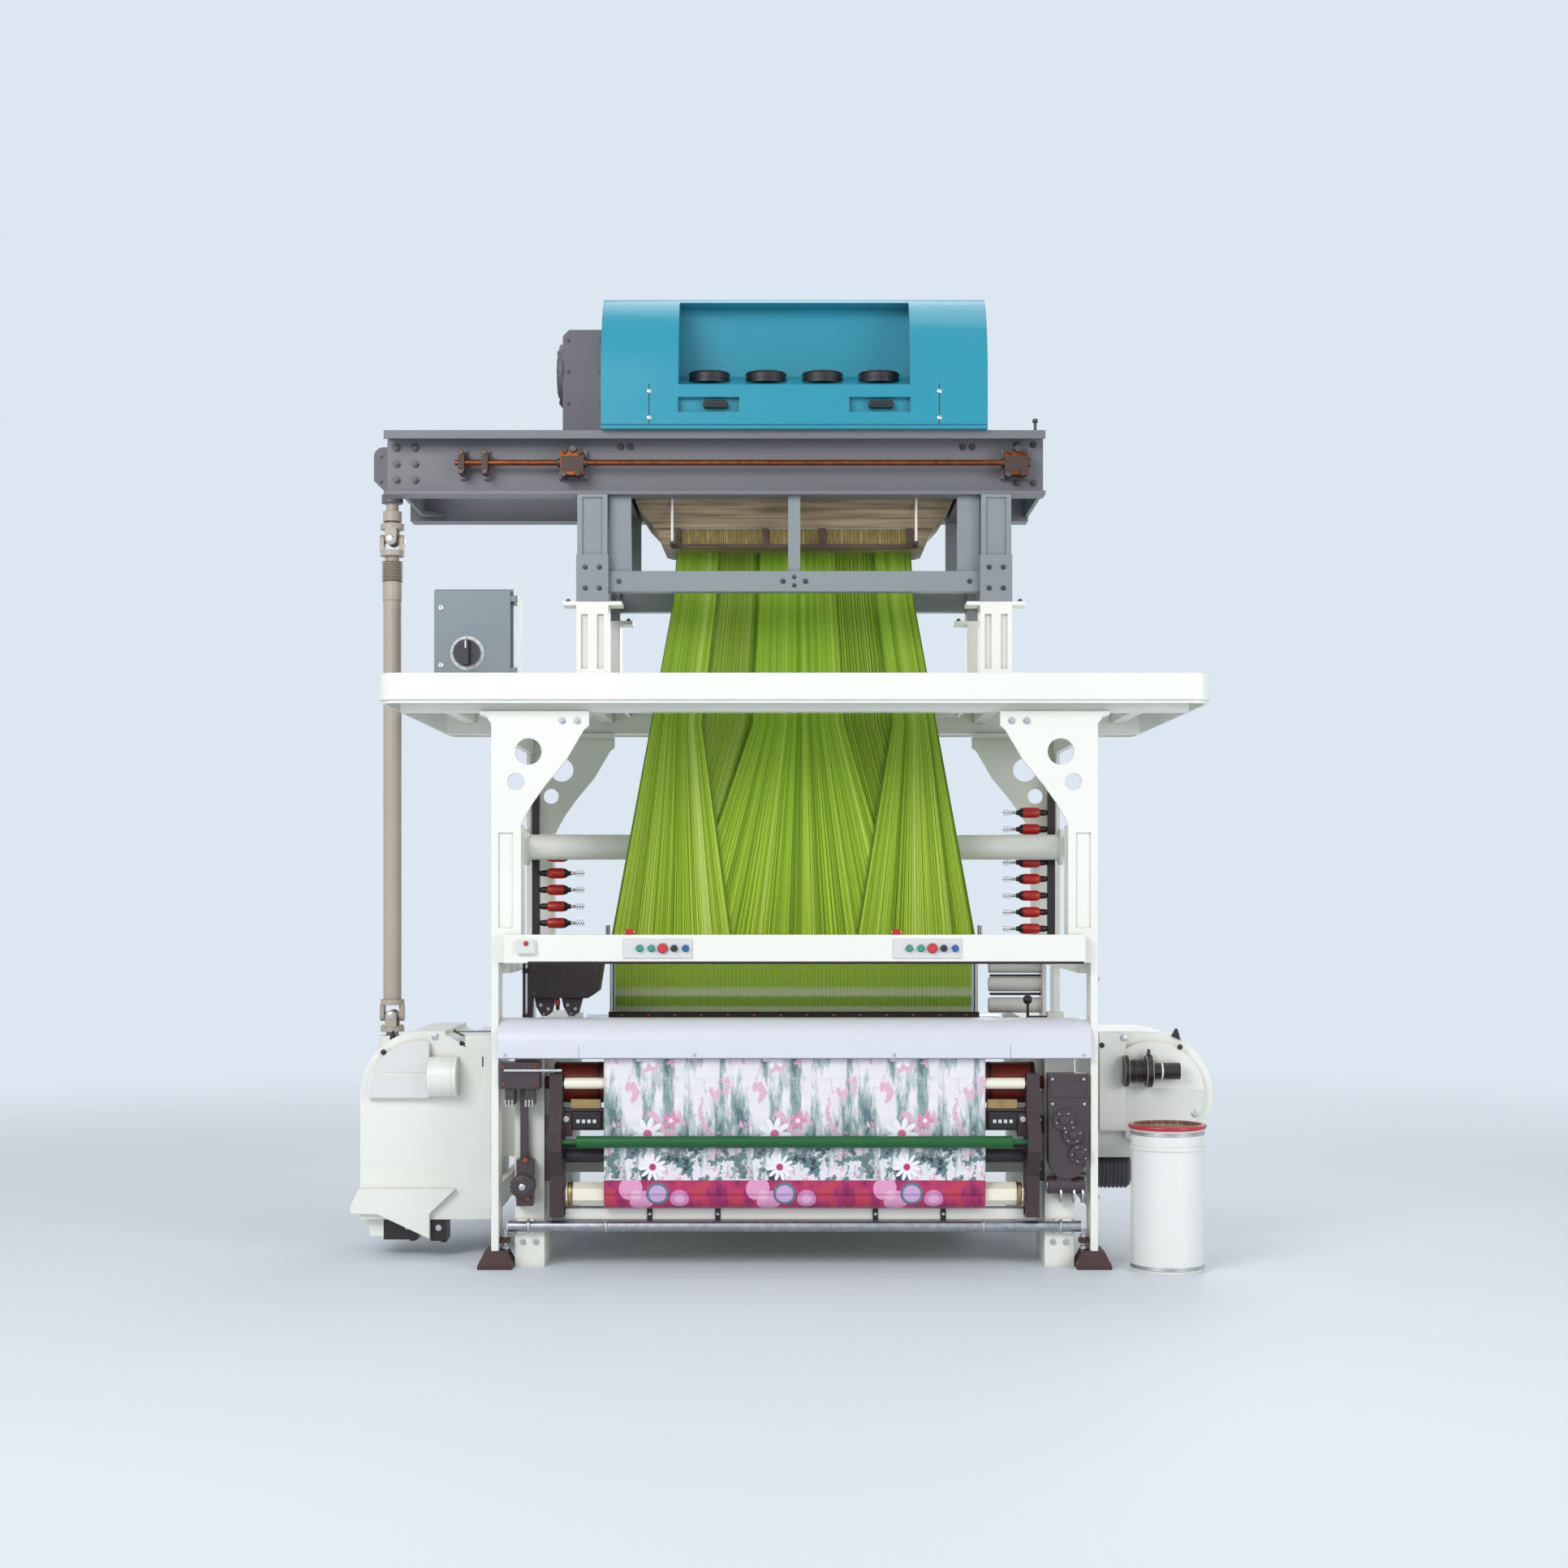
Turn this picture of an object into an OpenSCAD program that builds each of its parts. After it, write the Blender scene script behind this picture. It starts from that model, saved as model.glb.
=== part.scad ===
// Jacquard label loom: a flexible rapier loom under a gantry that carries the jacquard head.
// Millimetres. X runs across the cloth, -Y is the weaver's side and Z is up from the floor.
// The origin lies on the floor, midway between the four anchor holes of the gantry feet.

/* [Gantry] */
// Width over the outer faces of the columns
gantry_w = 1830; // [1700:1:2100]
// Depth from the front faces to the rear faces of the columns
gantry_d = 1070; // [1000:1:1300]
// Depth of one column
column_d = 100; // [80:1:130]
// Thickness of the lower column plate
column_t = 22; // [16:1:30]
// Width of the box section in the upper column
box_w = 90; // [60:1:110]
// Height where the column plate becomes a box
box_z = 925; // [900:1:980]
// Height of the gusset under the top of the gantry
gusset_h = 343; // [300:1:364]
// Height of the top of the gantry
gantry_h = 1684; // [1640:1:1800]
// Reach of the gusset towards the middle
gusset_reach = 295; // [240:1:320]
// Thickness of the gusset plates
gusset_t = 14; // [10:1:20]
// Radius of the large gusset hole
gusset_hole_r = 40; // [25:1:44]
// Radius of the small gusset hole
gusset_hole_small_r = 26; // [15:1:30]
// Radius of the round tie tube
tie_tube_r = 42; // [30:1:44]
// Distance of the tie tube's axis under the gusset
tie_tube_drop = 53; // [46:1:91]
// Distance of the tie tube's axis behind the middle
tie_tube_y = 185; // [180:1:230]
// Height of the side rails between front and rear columns
side_rail_h = 70; // [50:1:80]

/* [Feet] */
// Height of a levelling foot
foot_h = 56; // [48:1:80]
// Width of a levelling foot
foot_w = 104; // [90:1:130]
// Thickness of the foot's sole
foot_sole_t = 12; // [10:1:16]
// Radius of the floor anchor holes
anchor_r = 7; // [5:0.5:9]
// Distance from column axis to anchor hole
anchor_offset = 82; // [78:1:90]

/* [Walkway] */
// Width of the walkway deck
deck_w = 2504; // [2400:1:2520]
// Depth of the walkway deck
deck_d = 1540; // [1400:1:1700]
// Overhang of the deck in front of the columns
deck_front = 60; // [40:1:100]
// Height of the deck's edge
deck_h = 90; // [70:1:110]
// Clearance height under the edge for the bearers
deck_bearer_drop = 20; // [10:1:30]
// Thickness of the deck's floor plate
deck_plate_t = 12; // [6:1:16]
// Radius of the deck's corners
deck_corner_r = 60; // [30:1:90]
// Width of the opening for the harness
harness_gap_w = 1080; // [1020:1:1100]
// Depth of the opening for the harness
harness_gap_d = 330; // [300:1:340]

/* [Head frame] */
// Distance between the axes of the front and rear posts
post_pitch_y = 520; // [480:1:560]
// Distance between the axes of the left and right posts
post_pitch_x = 1258; // [1230:1:1290]
// Width of a white lower post
low_post_w = 100; // [90:1:110]
// Depth of a white lower post
low_post_d = 90; // [80:1:96]
// Height of a white lower post
low_post_h = 250; // [220:1:280]
// Width of a grey upper post
post_w = 94; // [80:1:98]
// Depth of a grey upper post
post_d = 88; // [70:1:90]
// Height of a grey upper post
post_h = 334; // [300:1:360]
// Height of the ring beam that ties the posts
ring_h = 64; // [50:1:80]
// Height of the ring beam above the post's foot
ring_lift = 33; // [20:1:60]

/* [Top frame] */
// Height of the long beams
beam_h = 200; // [180:1:220]
// Depth of the long beams' flanges
beam_d = 80; // [70:1:88]
// Distance of the beams' left ends from the cardan's axis
beam_setback = 18; // [10:1:28]
// Right end of the long beams
beam_right = 783; // [740:1:860]
// Thickness of web and flanges
beam_t = 12; // [8:1:14]
// Depth of the lip under the top flange
beam_lip = 26; // [18:1:32]
// Radius of the copper-brown rod on the front beam
rod_r = 9; // [6:0.5:12]

/* [Jacquard head] */
// Width of the jacquard housing
head_w = 1202; // [1180:1:1260]
// Depth of the jacquard housing
head_d = 650; // [620:1:700]
// Height of the jacquard housing
head_h = 442; // [400:1:480]
// Depth of the housing's flat top
head_top_d = 290; // [200:1:340]
// Height of the upright lower front
head_skirt_h = 142; // [120:1:180]
// Width of the fan pocket
pocket_w = 720; // [680:1:800]
// Outer radius of a fan ring
fan_r = 63; // [50:1:70]
// Distance between fan axes
fan_pitch = 178; // [160:1:190]
// Width of the harness board under the head
board_w = 1010; // [980:1:1016]
// Height of the harness board
board_h = 344; // [320:1:400]

/* [Cardan drive] */
// Gap between the walkway's edge and the cardan shaft's axis
cardan_gap = 46; // [42:1:54]
// Radius of the cardan tube
cardan_r = 29; // [24:1:31]
// Height of the lower universal joint
cardan_low_z = 740; // [736:1:760]
// Distance of the upper universal joint under the angle gearbox
cardan_hang = 145; // [135:1:190]
// Radius of the shaft stubs
stub_r = 20; // [16:1:24]
// Radius of the cross pins
cross_r = 10; // [8:1:12]
// Radius of the drive shaft to the head
head_shaft_r = 18; // [14:1:20]

/* [Cabinet] */
// Width of the control cabinet
cabinet_w = 247; // [220:1:260]
// Depth of the control cabinet
cabinet_d = 250; // [200:1:300]
// Height of the control cabinet
cabinet_h = 296; // [260:1:340]
// Thickness of the cabinet door
door_t = 20; // [14:1:26]
// Radius of the main switch
switch_r = 42; // [30:1:48]

/* [Loom frame] */
// Gap between a levelling foot and the side frame beside it
frame_gap = 2; // [1:0.5:12]
// Thickness of a side frame
frame_t = 90; // [80:1:100]
// Height of the side frames
frame_h = 720; // [716:1:740]
// Height of the weaving line
weave_z = 701; // [699:0.5:703]
// Working width in the reed
reed_w = 1150; // [1000:1:1160]

/* [Cloth path] */
// Radius of the take-up roller
take_up_r = 62; // [50:1:64]
// Radius of the press roller
press_r = 17; // [12:1:18]
// Radius of the green spreader roller
spreader_r = 18; // [12:1:20]
// Radius of the guide roller
guide_r = 21; // [15:1:24]
// Radius of the cloth roll
cloth_roll_r = 45; // [40:1:50]
// Across flats of the six-sided cloth roller
cloth_tube_w = 60; // [50:1:70]
// Thickness of cloth and warp
sheet_t = 3; // [1:0.5:4]
// Clearance between cloth and rollers
sheet_gap = 0.5; // [0.3:0.1:1]
// Radius of the yarn on the warp beam
warp_r = 225; // [150:1:232]
// Radius of the warp beam flanges
flange_r = 290; // [250:1:294]
// Radius of the backrest roller
backrest_r = 55; // [45:1:58]

/* [Shedding and beating] */
// Lift of the heddles each way
heddle_lift = 30; // [20:1:32]
// Number of heddle rows in one bank
heddle_count = 96; // [60:1:110]
// Number of dents in the reed
dent_count = 110; // [60:1:119]
// Height of the reed
reed_h = 97; // [80:1:110]
// Angle of the sley's beat-up
beat_angle = 17.5; // [12:0.5:18]

/* [Weft insertion] */
// Radius of the rapier wheels
wheel_r = 180; // [150:1:184]
// Width of the rapier tape
tape_w = 30; // [20:1:32]
// Thickness of the rapier tape
tape_t = 3; // [2:0.5:4]
// Radius of the round rapier covers
cover_r = 195; // [190:1:200]
// Width of the left drive housing
housing_w = 426; // [410:1:440]
// Gap between the left drive housing and the column
housing_gap = 29; // [20:1:40]
// Width of the right rapier cover
cover_w = 380; // [376:1:396]
// Gap between the right rapier cover and the column
cover_gap = 10; // [6:1:30]

/* [Controls] */
// Height of the button bar
bar_h = 85; // [70:1:90]
// Depth of the button bar
bar_d = 40; // [34:1:50]
// Radius of a push button
button_r = 9.5; // [7:0.5:10]
// Radius of a red stop button
stop_r = 14; // [10:0.5:16]
// Distance between buttons
button_pitch = 34.3; // [32:0.1:38]
// Travel of a button
button_travel = 4; // [2:0.5:5]

/* [Waste can] */
// Radius of the waste can
can_r = 109; // [90:1:115]
// Height of the waste can
can_h = 440; // [360:1:480]
// Wall of the waste can
can_t = 4; // [2:0.5:6]

/* [Hidden] */
$fn = 48;

// Radial clearance of a running fit
fit = 0.05;

// Gantry planes
col_x = gantry_w / 2;
col_in = col_x - column_t;
front_y = -gantry_d / 2;
col_axis_x = col_x - column_t / 2;
col_axis_y = gantry_d / 2 - column_d / 2;
rail_y = gantry_d / 2 - column_d;
low_rail_z = 180;
mid_rail_z = 890;
mid_rail_w = 45;
mid_rail_top = mid_rail_z + side_rail_h;
gusset_z = gantry_h - gusset_h;
tie_tube_z = gusset_z - tie_tube_drop;

// Collars of the tie tube and the tensioner posts behind it
collar_r = tie_tube_r + 18;
rack_y = tie_tube_y + tie_tube_r + 4;

// Rapier wheels stand off the columns, and the cardan shaft passes the walkway's edge
wheel_left_x = col_x + housing_gap + housing_w / 2;
wheel_right_x = col_x + cover_gap + cover_w / 2;
cardan_x = deck_w / 2 + cardan_gap;

// Deck planes
deck_top = gantry_h + deck_bearer_drop + deck_h;
deck_y0 = front_y - deck_front;
deck_y1 = deck_y0 + deck_d;

// Head frame planes
post_x = post_pitch_x / 2;
post_y = post_pitch_y / 2;
head_foot_z = deck_top + low_post_h;
beam_z = head_foot_z + post_h;
ring_z = head_foot_z + ring_lift;
head_z = beam_z + beam_h;
beam_in_y = post_y - beam_d / 2;
beam_out_y = post_y + beam_d / 2;
rod_z = beam_z + 102;
beam_left = cardan_x - beam_setback;
rod_left = -1060;
rod_right = 661;
small_saddle_x = [-1039, -966];
large_saddle_x = [-694, 693];

// Weaving zone planes
harness_y = 40;
harness_half_d = 75;
comber_z = mid_rail_top;
comber_t = 25;
fell_y = -215;
rapier_y = -105;
reed_y = -68;
sley_y = -55;
sley_z = 300;
frame_out = col_axis_x - foot_w / 2 - frame_gap;
frame_in = frame_out - frame_t;
frame_front = -480;
frame_rear = 900;
wheel_z = weave_z - wheel_r - 10;
tape_z = wheel_z + wheel_r;
tape_gap = 0.1;
rapier_tip = frame_in - 120;

// Heddle banks hang at these depths on guide rods beyond the last heddle
heddle_rows = [harness_y - 45, harness_y + 45];
guide_rod_r = 4;
guide_rod_x = reed_w / 2 + 32;

// Cloth path planes: the cloth lies on the breast beam's nose and hangs in front of the
// press roller and the cloth roll
nose_r = 30;
nose_y = -505;
nose_z = weave_z - sheet_t / 2 - nose_r;
hang_y = nose_y - nose_r;
take_up = [-435, 557];
press = [hang_y + sheet_gap + press_r + 2, 560];
spreader = [hang_y - sheet_t - 1.5 - spreader_r, 387];
guide = [hang_y + sheet_gap + guide_r + 12, 341];
cloth_roll = [hang_y + sheet_gap + cloth_roll_r, 224];
backrest = [820, weave_z - sheet_t / 2 - sheet_gap - backrest_r];
warp_axis = [640, 330];
arm_in = frame_in - 60;
arm_t = 40;

// Cardan and gearboxes
cardan_y = -30;
gearbox_z = beam_z + 42;
head_shaft_z = beam_z + 112;
head_gear_w = 137;
head_gear_half = 95;
head_gear_lift = 60;
cardan_high_z = gearbox_z - cardan_hang;
bearing_top = cardan_low_z - 64;
bearing_depth = 66;
joint_room = 44;

// Cabinet
cabinet_x = 123 - deck_w / 2;
cabinet_y = -235;
hinge_x = cabinet_x + cabinet_w + 6;
hinge_y = cabinet_y - door_t / 2;
switch_x = cabinet_x + 103;
switch_z = deck_top + 94;

// Button bar
bar_z = box_z;
bar_front = front_y - bar_d;
button_z = bar_z + 44.5;
left_button_x = -464;
right_button_x = 344;
button_stem_r = 6;
green_paint = [0.2, 0.6, 0.5];
red_paint = [0.85, 0.15, 0.12];
black_paint = [0.12, 0.12, 0.12];
blue_paint = [0.1, 0.35, 0.65];

// Take-up drives reach out to the columns
drive_out = col_in - 8;

// Weft selector on the left side frame and the places of its two fingers
selector_left = -frame_in - 70;
selector_low = 806;
finger_x = [selector_left + 45, selector_left + 130];
finger_y = -200;
finger_half = 12;

// Waste can stands on the floor in front of the right rapier cover
can_x = wheel_right_x + 9;
can_y = front_y;

// Round bar along X from x0 to x1
module bar_x(r, x0, x1, y, z) {
    translate([x0, y, z]) rotate([0, 90, 0]) cylinder(h = x1 - x0, r = r);
}

// Round bar along Y from y0 to y1
module bar_y(r, y0, y1, x, z) {
    translate([x, y1, z]) rotate([90, 0, 0]) cylinder(h = y1 - y0, r = r);
}

// Round bar along Z from z0 to z1
module bar_z(r, z0, z1, x, y) {
    translate([x, y, z0]) cylinder(h = z1 - z0, r = r);
}

// Block between two corners
module block(x0, x1, y0, y1, z0, z1) {
    translate([x0, y0, z0]) cube([x1 - x0, y1 - y0, z1 - z0]);
}

// Outline drawn in (y, z) and drawn out along X
module side_plate(x0, x1) {
    translate([x0, 0, 0]) rotate([90, 0, 90]) linear_extrude(x1 - x0) children();
}

// Outline drawn in (x, z) and drawn out along Y
module front_plate(y0, y1) {
    translate([0, y1, 0]) rotate([90, 0, 0]) linear_extrude(y1 - y0) children();
}

// Copies on the left and the right
module both_sides() {
    for (s = [0, 1]) mirror([s, 0, 0]) children();
}

// Copies at the front and the rear
module front_and_rear() {
    for (s = [0, 1]) mirror([0, s, 0]) children();
}

// Rectangle with round corners
module round_rect(w, d, r) {
    square([w - 2 * r, d], center = true);
    square([w, d - 2 * r], center = true);
    for (sx = [-1, 1], sy = [-1, 1])
        translate([sx * (w / 2 - r), sy * (d / 2 - r)]) circle(r);
}

// Levelling feet: four cast shoes, each with a floor anchor hole on its inner side
module levelling_feet() {
    sole_out = 60;
    sole_in = 105;
    top_w = 60;
    color([0.27, 0.16, 0.15])
    both_sides() front_and_rear() difference() {
        translate([col_axis_x, -col_axis_y, 0]) {
            intersection() {
                front_plate(-sole_out, sole_out)
                    polygon([[-foot_w / 2, foot_sole_t], [foot_w / 2, foot_sole_t],
                        [top_w / 2, foot_h], [-top_w / 2, foot_h]]);
                side_plate(-foot_w / 2, foot_w / 2)
                    polygon([[-sole_out, foot_sole_t], [sole_out, foot_sole_t],
                        [column_d / 2, foot_h], [-column_d / 2, foot_h]]);
            }
            block(-foot_w / 2, foot_w / 2, -sole_out, sole_in, 0, foot_sole_t);
        }
        bar_z(anchor_r, -1, foot_sole_t + 1, col_axis_x, anchor_offset - col_axis_y);
    }
}

// Outline of one gusset in (x, z), drawn on the right-hand side
module gusset_outline() {
    edge = col_x - gusset_reach;
    arch_w = gusset_reach - box_w;
    arch_h = gusset_h - 57;
    difference() {
        polygon([[edge, gantry_h], [edge, gantry_h - 44], [edge + 16, gantry_h - 57],
            [edge + arch_w * 0.34, gusset_z + arch_h * 0.68],
            [edge + arch_w * 0.64, gusset_z + arch_h * 0.42],
            [edge + arch_w * 0.83, gusset_z + arch_h * 0.23],
            [edge + arch_w * 0.95, gusset_z + arch_h * 0.08], [col_x - box_w, gusset_z],
            [col_x, gusset_z], [col_x, gantry_h - 36], [col_x + 35, gantry_h]]);
        translate([col_x + 35, gantry_h - 36]) circle(28);
        translate([col_x - box_w - 22, gantry_h - 122]) circle(gusset_hole_r);
        translate([col_x - box_w + 15, gantry_h - 213]) circle(gusset_hole_small_r);
    }
}

// Gantry: four columns with gussets, side rails and the round tie tube, welded into one frame
module gantry_frame() {
    flange_t = 12;
    color([0.96, 0.96, 0.93]) {
        both_sides() {
            front_and_rear() {
                block(col_in, col_x, front_y, -rail_y, foot_h, box_z);
                difference() {
                    block(col_x - box_w, col_x, front_y, -rail_y, box_z, gusset_z);
                    block(col_x - box_w + 24, col_x - 22, front_y - 1, front_y + 6,
                        bar_z + bar_h + 20, gusset_z - 24);
                }
                front_plate(front_y, front_y + gusset_t) gusset_outline();
                block(col_x - flange_t, col_x, front_y, -rail_y, gusset_z, gantry_h);
                block(col_x - gusset_reach, col_x + 35, front_y, -rail_y,
                    gantry_h - flange_t, gantry_h);
            }
            for (z = [low_rail_z, tie_tube_z - side_rail_h / 2, gantry_h - side_rail_h])
                block(col_in, col_x, -rail_y, rail_y, z, z + side_rail_h);
            block(col_x - mid_rail_w, col_x, -rail_y, rail_y, mid_rail_z, mid_rail_top);
            bar_x(collar_r, col_in - flange_t, col_in, tie_tube_y, tie_tube_z);
        }
        bar_x(tie_tube_r, -col_in, col_in, tie_tube_y, tie_tube_z);
    }
}

// Walkway deck: an edged floor plate on bearers, with an opening for the harness
module walkway_deck() {
    edge_t = 8;
    mid_y = (deck_y0 + deck_y1) / 2;
    plate_z = deck_top - deck_plate_t;
    edge_z = deck_top - deck_h;
    curb_t = 10;
    color([0.93, 0.93, 0.9]) {
        difference() {
            union() {
                translate([0, mid_y, edge_z + 10]) linear_extrude(deck_h - 10)
                    round_rect(deck_w, deck_d, deck_corner_r);
                translate([0, mid_y, edge_z]) linear_extrude(10)
                    round_rect(deck_w - 16, deck_d - 16, deck_corner_r - 8);
            }
            translate([0, mid_y, edge_z - 1]) linear_extrude(deck_h - deck_plate_t + 1)
                round_rect(deck_w - 4 * edge_t, deck_d - 4 * edge_t, deck_corner_r - 2 * edge_t);
            block(-harness_gap_w / 2, harness_gap_w / 2, -harness_gap_d / 2, harness_gap_d / 2,
                edge_z - 1, deck_top + 1);
        }
        // Bearers over the gantry and joists under the floor plate
        front_and_rear()
            block(-deck_w / 2 + 60, deck_w / 2 - 60, front_y + 20, -rail_y - 20,
                gantry_h, plate_z);
        both_sides() for (x = [harness_gap_w / 2 + 80, deck_w / 2 - 160])
            block(x, x + 40, deck_y0 + 2 * edge_t, deck_y1 - 2 * edge_t,
                deck_top - deck_h + 16, plate_z);
        // Low curb round the harness opening
        difference() {
            block(-harness_gap_w / 2 - curb_t, harness_gap_w / 2 + curb_t,
                -harness_gap_d / 2 - curb_t, harness_gap_d / 2 + curb_t,
                edge_z + 16, plate_z);
            block(-harness_gap_w / 2, harness_gap_w / 2, -harness_gap_d / 2, harness_gap_d / 2,
                edge_z, deck_top);
        }
    }
}

// Lower posts: four white welded posts between the deck and the head frame
module deck_posts() {
    plate_t = 12;
    groove = 10;
    color([0.95, 0.95, 0.93])
    both_sides() front_and_rear() translate([post_x, -post_y, 0]) {
        difference() {
            block(-low_post_w / 2, low_post_w / 2, -low_post_d / 2, low_post_d / 2,
                deck_top, head_foot_z);
            for (x = [-low_post_w / 4, low_post_w / 4])
                block(x - groove, x + groove, -low_post_d / 2 - 1, -low_post_d / 2 + groove,
                    deck_top + 40, head_foot_z - 40);
        }
        block(-low_post_w / 2 - 22, low_post_w / 2 + 22, -low_post_d / 2 - 8,
            low_post_d / 2 + 8, deck_top, deck_top + plate_t);
        block(-low_post_w / 2 - 42, low_post_w / 2 + 42, -low_post_d / 2, low_post_d / 2,
            head_foot_z - plate_t, head_foot_z);
    }
}

// Head frame: grey posts, ring beam, inner plates and middle bars in one welding
module head_frame() {
    ring_d = 50;
    plate_w = 70;
    plate_t = 24;
    sleeve_h = 146;
    flute = 6;
    post_in = post_x - post_w / 2;
    color([0.57, 0.59, 0.61]) {
        both_sides() {
            front_and_rear() {
                translate([post_x, -post_y, 0]) {
                    difference() {
                        block(-post_w / 2, post_w / 2, -post_d / 2, post_d / 2,
                            head_foot_z, beam_z);
                        block(-post_w / 2 + 16, post_w / 2 - 16, -post_d / 2 - 1,
                            -post_d / 2 + flute, head_foot_z + sleeve_h, beam_z - 10);
                    }
                    block(-post_w / 2 - 3, post_w / 2 + 3, -post_d / 2 - 3, post_d / 2 + 3,
                        head_foot_z, head_foot_z + sleeve_h);
                }
                block(post_in - plate_w - 2, post_in - 2, -post_y - plate_t / 2,
                    -post_y + plate_t / 2, ring_z + ring_h, beam_z);
            }
            block(post_x - ring_d / 2, post_x + ring_d / 2, -post_y, post_y,
                ring_z, ring_z + ring_h);
        }
        front_and_rear() {
            block(-post_in, post_in, -post_y - ring_d / 2, -post_y + ring_d / 2,
                ring_z, ring_z + ring_h);
            block(-19, 19, -post_y - plate_t / 2, -post_y + plate_t / 2, ring_z, beam_z);
        }
    }
}

// Section of one long beam in (y, z), open towards the outside
module beam_section() {
    translate([-beam_out_y, beam_z]) {
        translate([beam_d - beam_t, 0]) square([beam_t, beam_h]);
        square([beam_d, beam_t]);
        translate([0, beam_h - beam_t]) square([beam_d, beam_t]);
        translate([0, beam_h - beam_lip]) square([beam_t / 2, beam_lip]);
    }
}

// Top frame: two long channels joined by cross plates and corner gussets
module top_frame() {
    cross_z = 12;
    cradle_x = board_w / 2 + 15;
    gusset = 70;
    left_plate = beam_left - 40;
    color([0.47, 0.47, 0.49]) {
        front_and_rear() side_plate(-beam_left, beam_right) beam_section();
        difference() {
            block(-left_plate, -left_plate + beam_t, -beam_in_y, beam_in_y,
                beam_z + cross_z, head_z - cross_z);
            bar_x(head_shaft_r + 4, -left_plate - 1, -left_plate + beam_t + 1,
                cardan_y, head_shaft_z);
        }
        block(beam_right - beam_t, beam_right, -beam_in_y, beam_in_y,
            beam_z + cross_z, head_z - cross_z);
        // Cross plates beside the harness board, cut back round the head's gearbox
        difference() {
            both_sides()
                block(cradle_x, cradle_x + 36, -beam_in_y, beam_in_y, beam_z + cross_z, head_z);
            block(-head_w / 2 - head_gear_w, 6 - head_w / 2,
                cardan_y - head_gear_half - 6, cardan_y + head_gear_half + 6,
                beam_z + head_gear_lift - 6, head_z + 1);
        }
        // Corner gussets at the free left end
        front_and_rear() translate([0, 0, beam_z + cross_z]) linear_extrude(beam_t)
            polygon([[-left_plate + beam_t, -beam_in_y],
                [-left_plate + beam_t + gusset, -beam_in_y],
                [-left_plate + beam_t, gusset - beam_in_y]]);
        // Saddles that carry the rod on the front beam
        for (x = small_saddle_x)
            block(x - 10, x + 10, -beam_in_y - 26, -beam_in_y - beam_t, rod_z - 46, rod_z + 46);
        for (x = large_saddle_x)
            block(x - 44, x + 44, -beam_in_y - 30, -beam_in_y - beam_t, rod_z - 46, rod_z + 46);
    }
}

// Rod along the front beam, held by four clamp blocks
module beam_rod() {
    rod_y = -beam_in_y - 60;
    color([0.6, 0.3, 0.15]) {
        bar_x(rod_r, rod_left, rod_right, rod_y, rod_z);
        for (x = small_saddle_x)
            block(x - 8, x + 8, rod_y - 14, -beam_in_y - 26, rod_z - 36, rod_z + 36);
        for (x = large_saddle_x)
            block(x - 36, x + 36, rod_y - 18, -beam_in_y - 30, rod_z - 40, rod_z + 34);
    }
}

// Jacquard housing: a deep cover whose front leans back above an upright skirt
module jacquard_housing() {
    half_w = head_w / 2;
    half_d = head_d / 2;
    slope_y = half_d - head_top_d / 2;
    slope_h = head_h - head_skirt_h;
    bow = [for (a = [0:9:90]) [slope_y * (1 - cos(a)), slope_h * sin(a)]];
    rim_z = head_z + head_skirt_h;
    pocket_y = 40 - half_d;
    ledge_z = rim_z + 60;
    pocket_top = head_z + head_h - 24;
    wall_y = pocket_y + 150;
    seam = 3;
    color([0.12, 0.57, 0.67]) {
        difference() {
            side_plate(-half_w, half_w)
                polygon(concat([[half_d, head_z], [-half_d, head_z]],
                    [for (p = bow) [p[0] - half_d, rim_z + p[1]]],
                    [for (i = [len(bow) - 1:-1:0]) [half_d - bow[i][0], rim_z + bow[i][1]]]));
            // Fan pocket with a sloping ledge and an upright rear wall
            side_plate(-pocket_w / 2, pocket_w / 2)
                polygon([[-half_d - 1, rim_z - 5], [pocket_y, rim_z + 5], [wall_y, ledge_z],
                    [wall_y, pocket_top], [-half_d - 1, pocket_top]]);
            // Panel seams and the two recessed grips
            for (x = [-half_w + 150, half_w - 150])
                block(x - seam / 2, x + seam / 2, -half_d - 1, -half_d + seam,
                    head_z + 12, rim_z - 4);
            block(-half_w - 1, half_w + 1, -half_d - 1, -half_d + seam, head_z + 10, head_z + 13);
            for (x = [-266, 266])
                block(x - 95, x + 95, -half_d - 1, -half_d + 22, head_z + 52, head_z + 98);
        }
        // Four fan rings on the ledge, each with a hub and three spokes
        for (i = [0:3])
            translate([(i - 1.5) * fan_pitch, (pocket_y + wall_y) / 2, rim_z + 26])
                fan_ring();
    }
}

// Fan ring that stands on the pocket's ledge
module fan_ring() {
    ring_h = 26;
    difference() {
        translate([0, 0, -8]) cylinder(h = ring_h + 8, r = fan_r);
        translate([0, 0, ring_h - 14]) cylinder(h = 15, r = fan_r - 6);
    }
    cylinder(h = ring_h - 4, r = 18);
    for (a = [90, 210, 330])
        rotate([0, 0, a]) translate([0, -2, 0]) cube([fan_r - 3, 4, ring_h - 6]);
}

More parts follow.
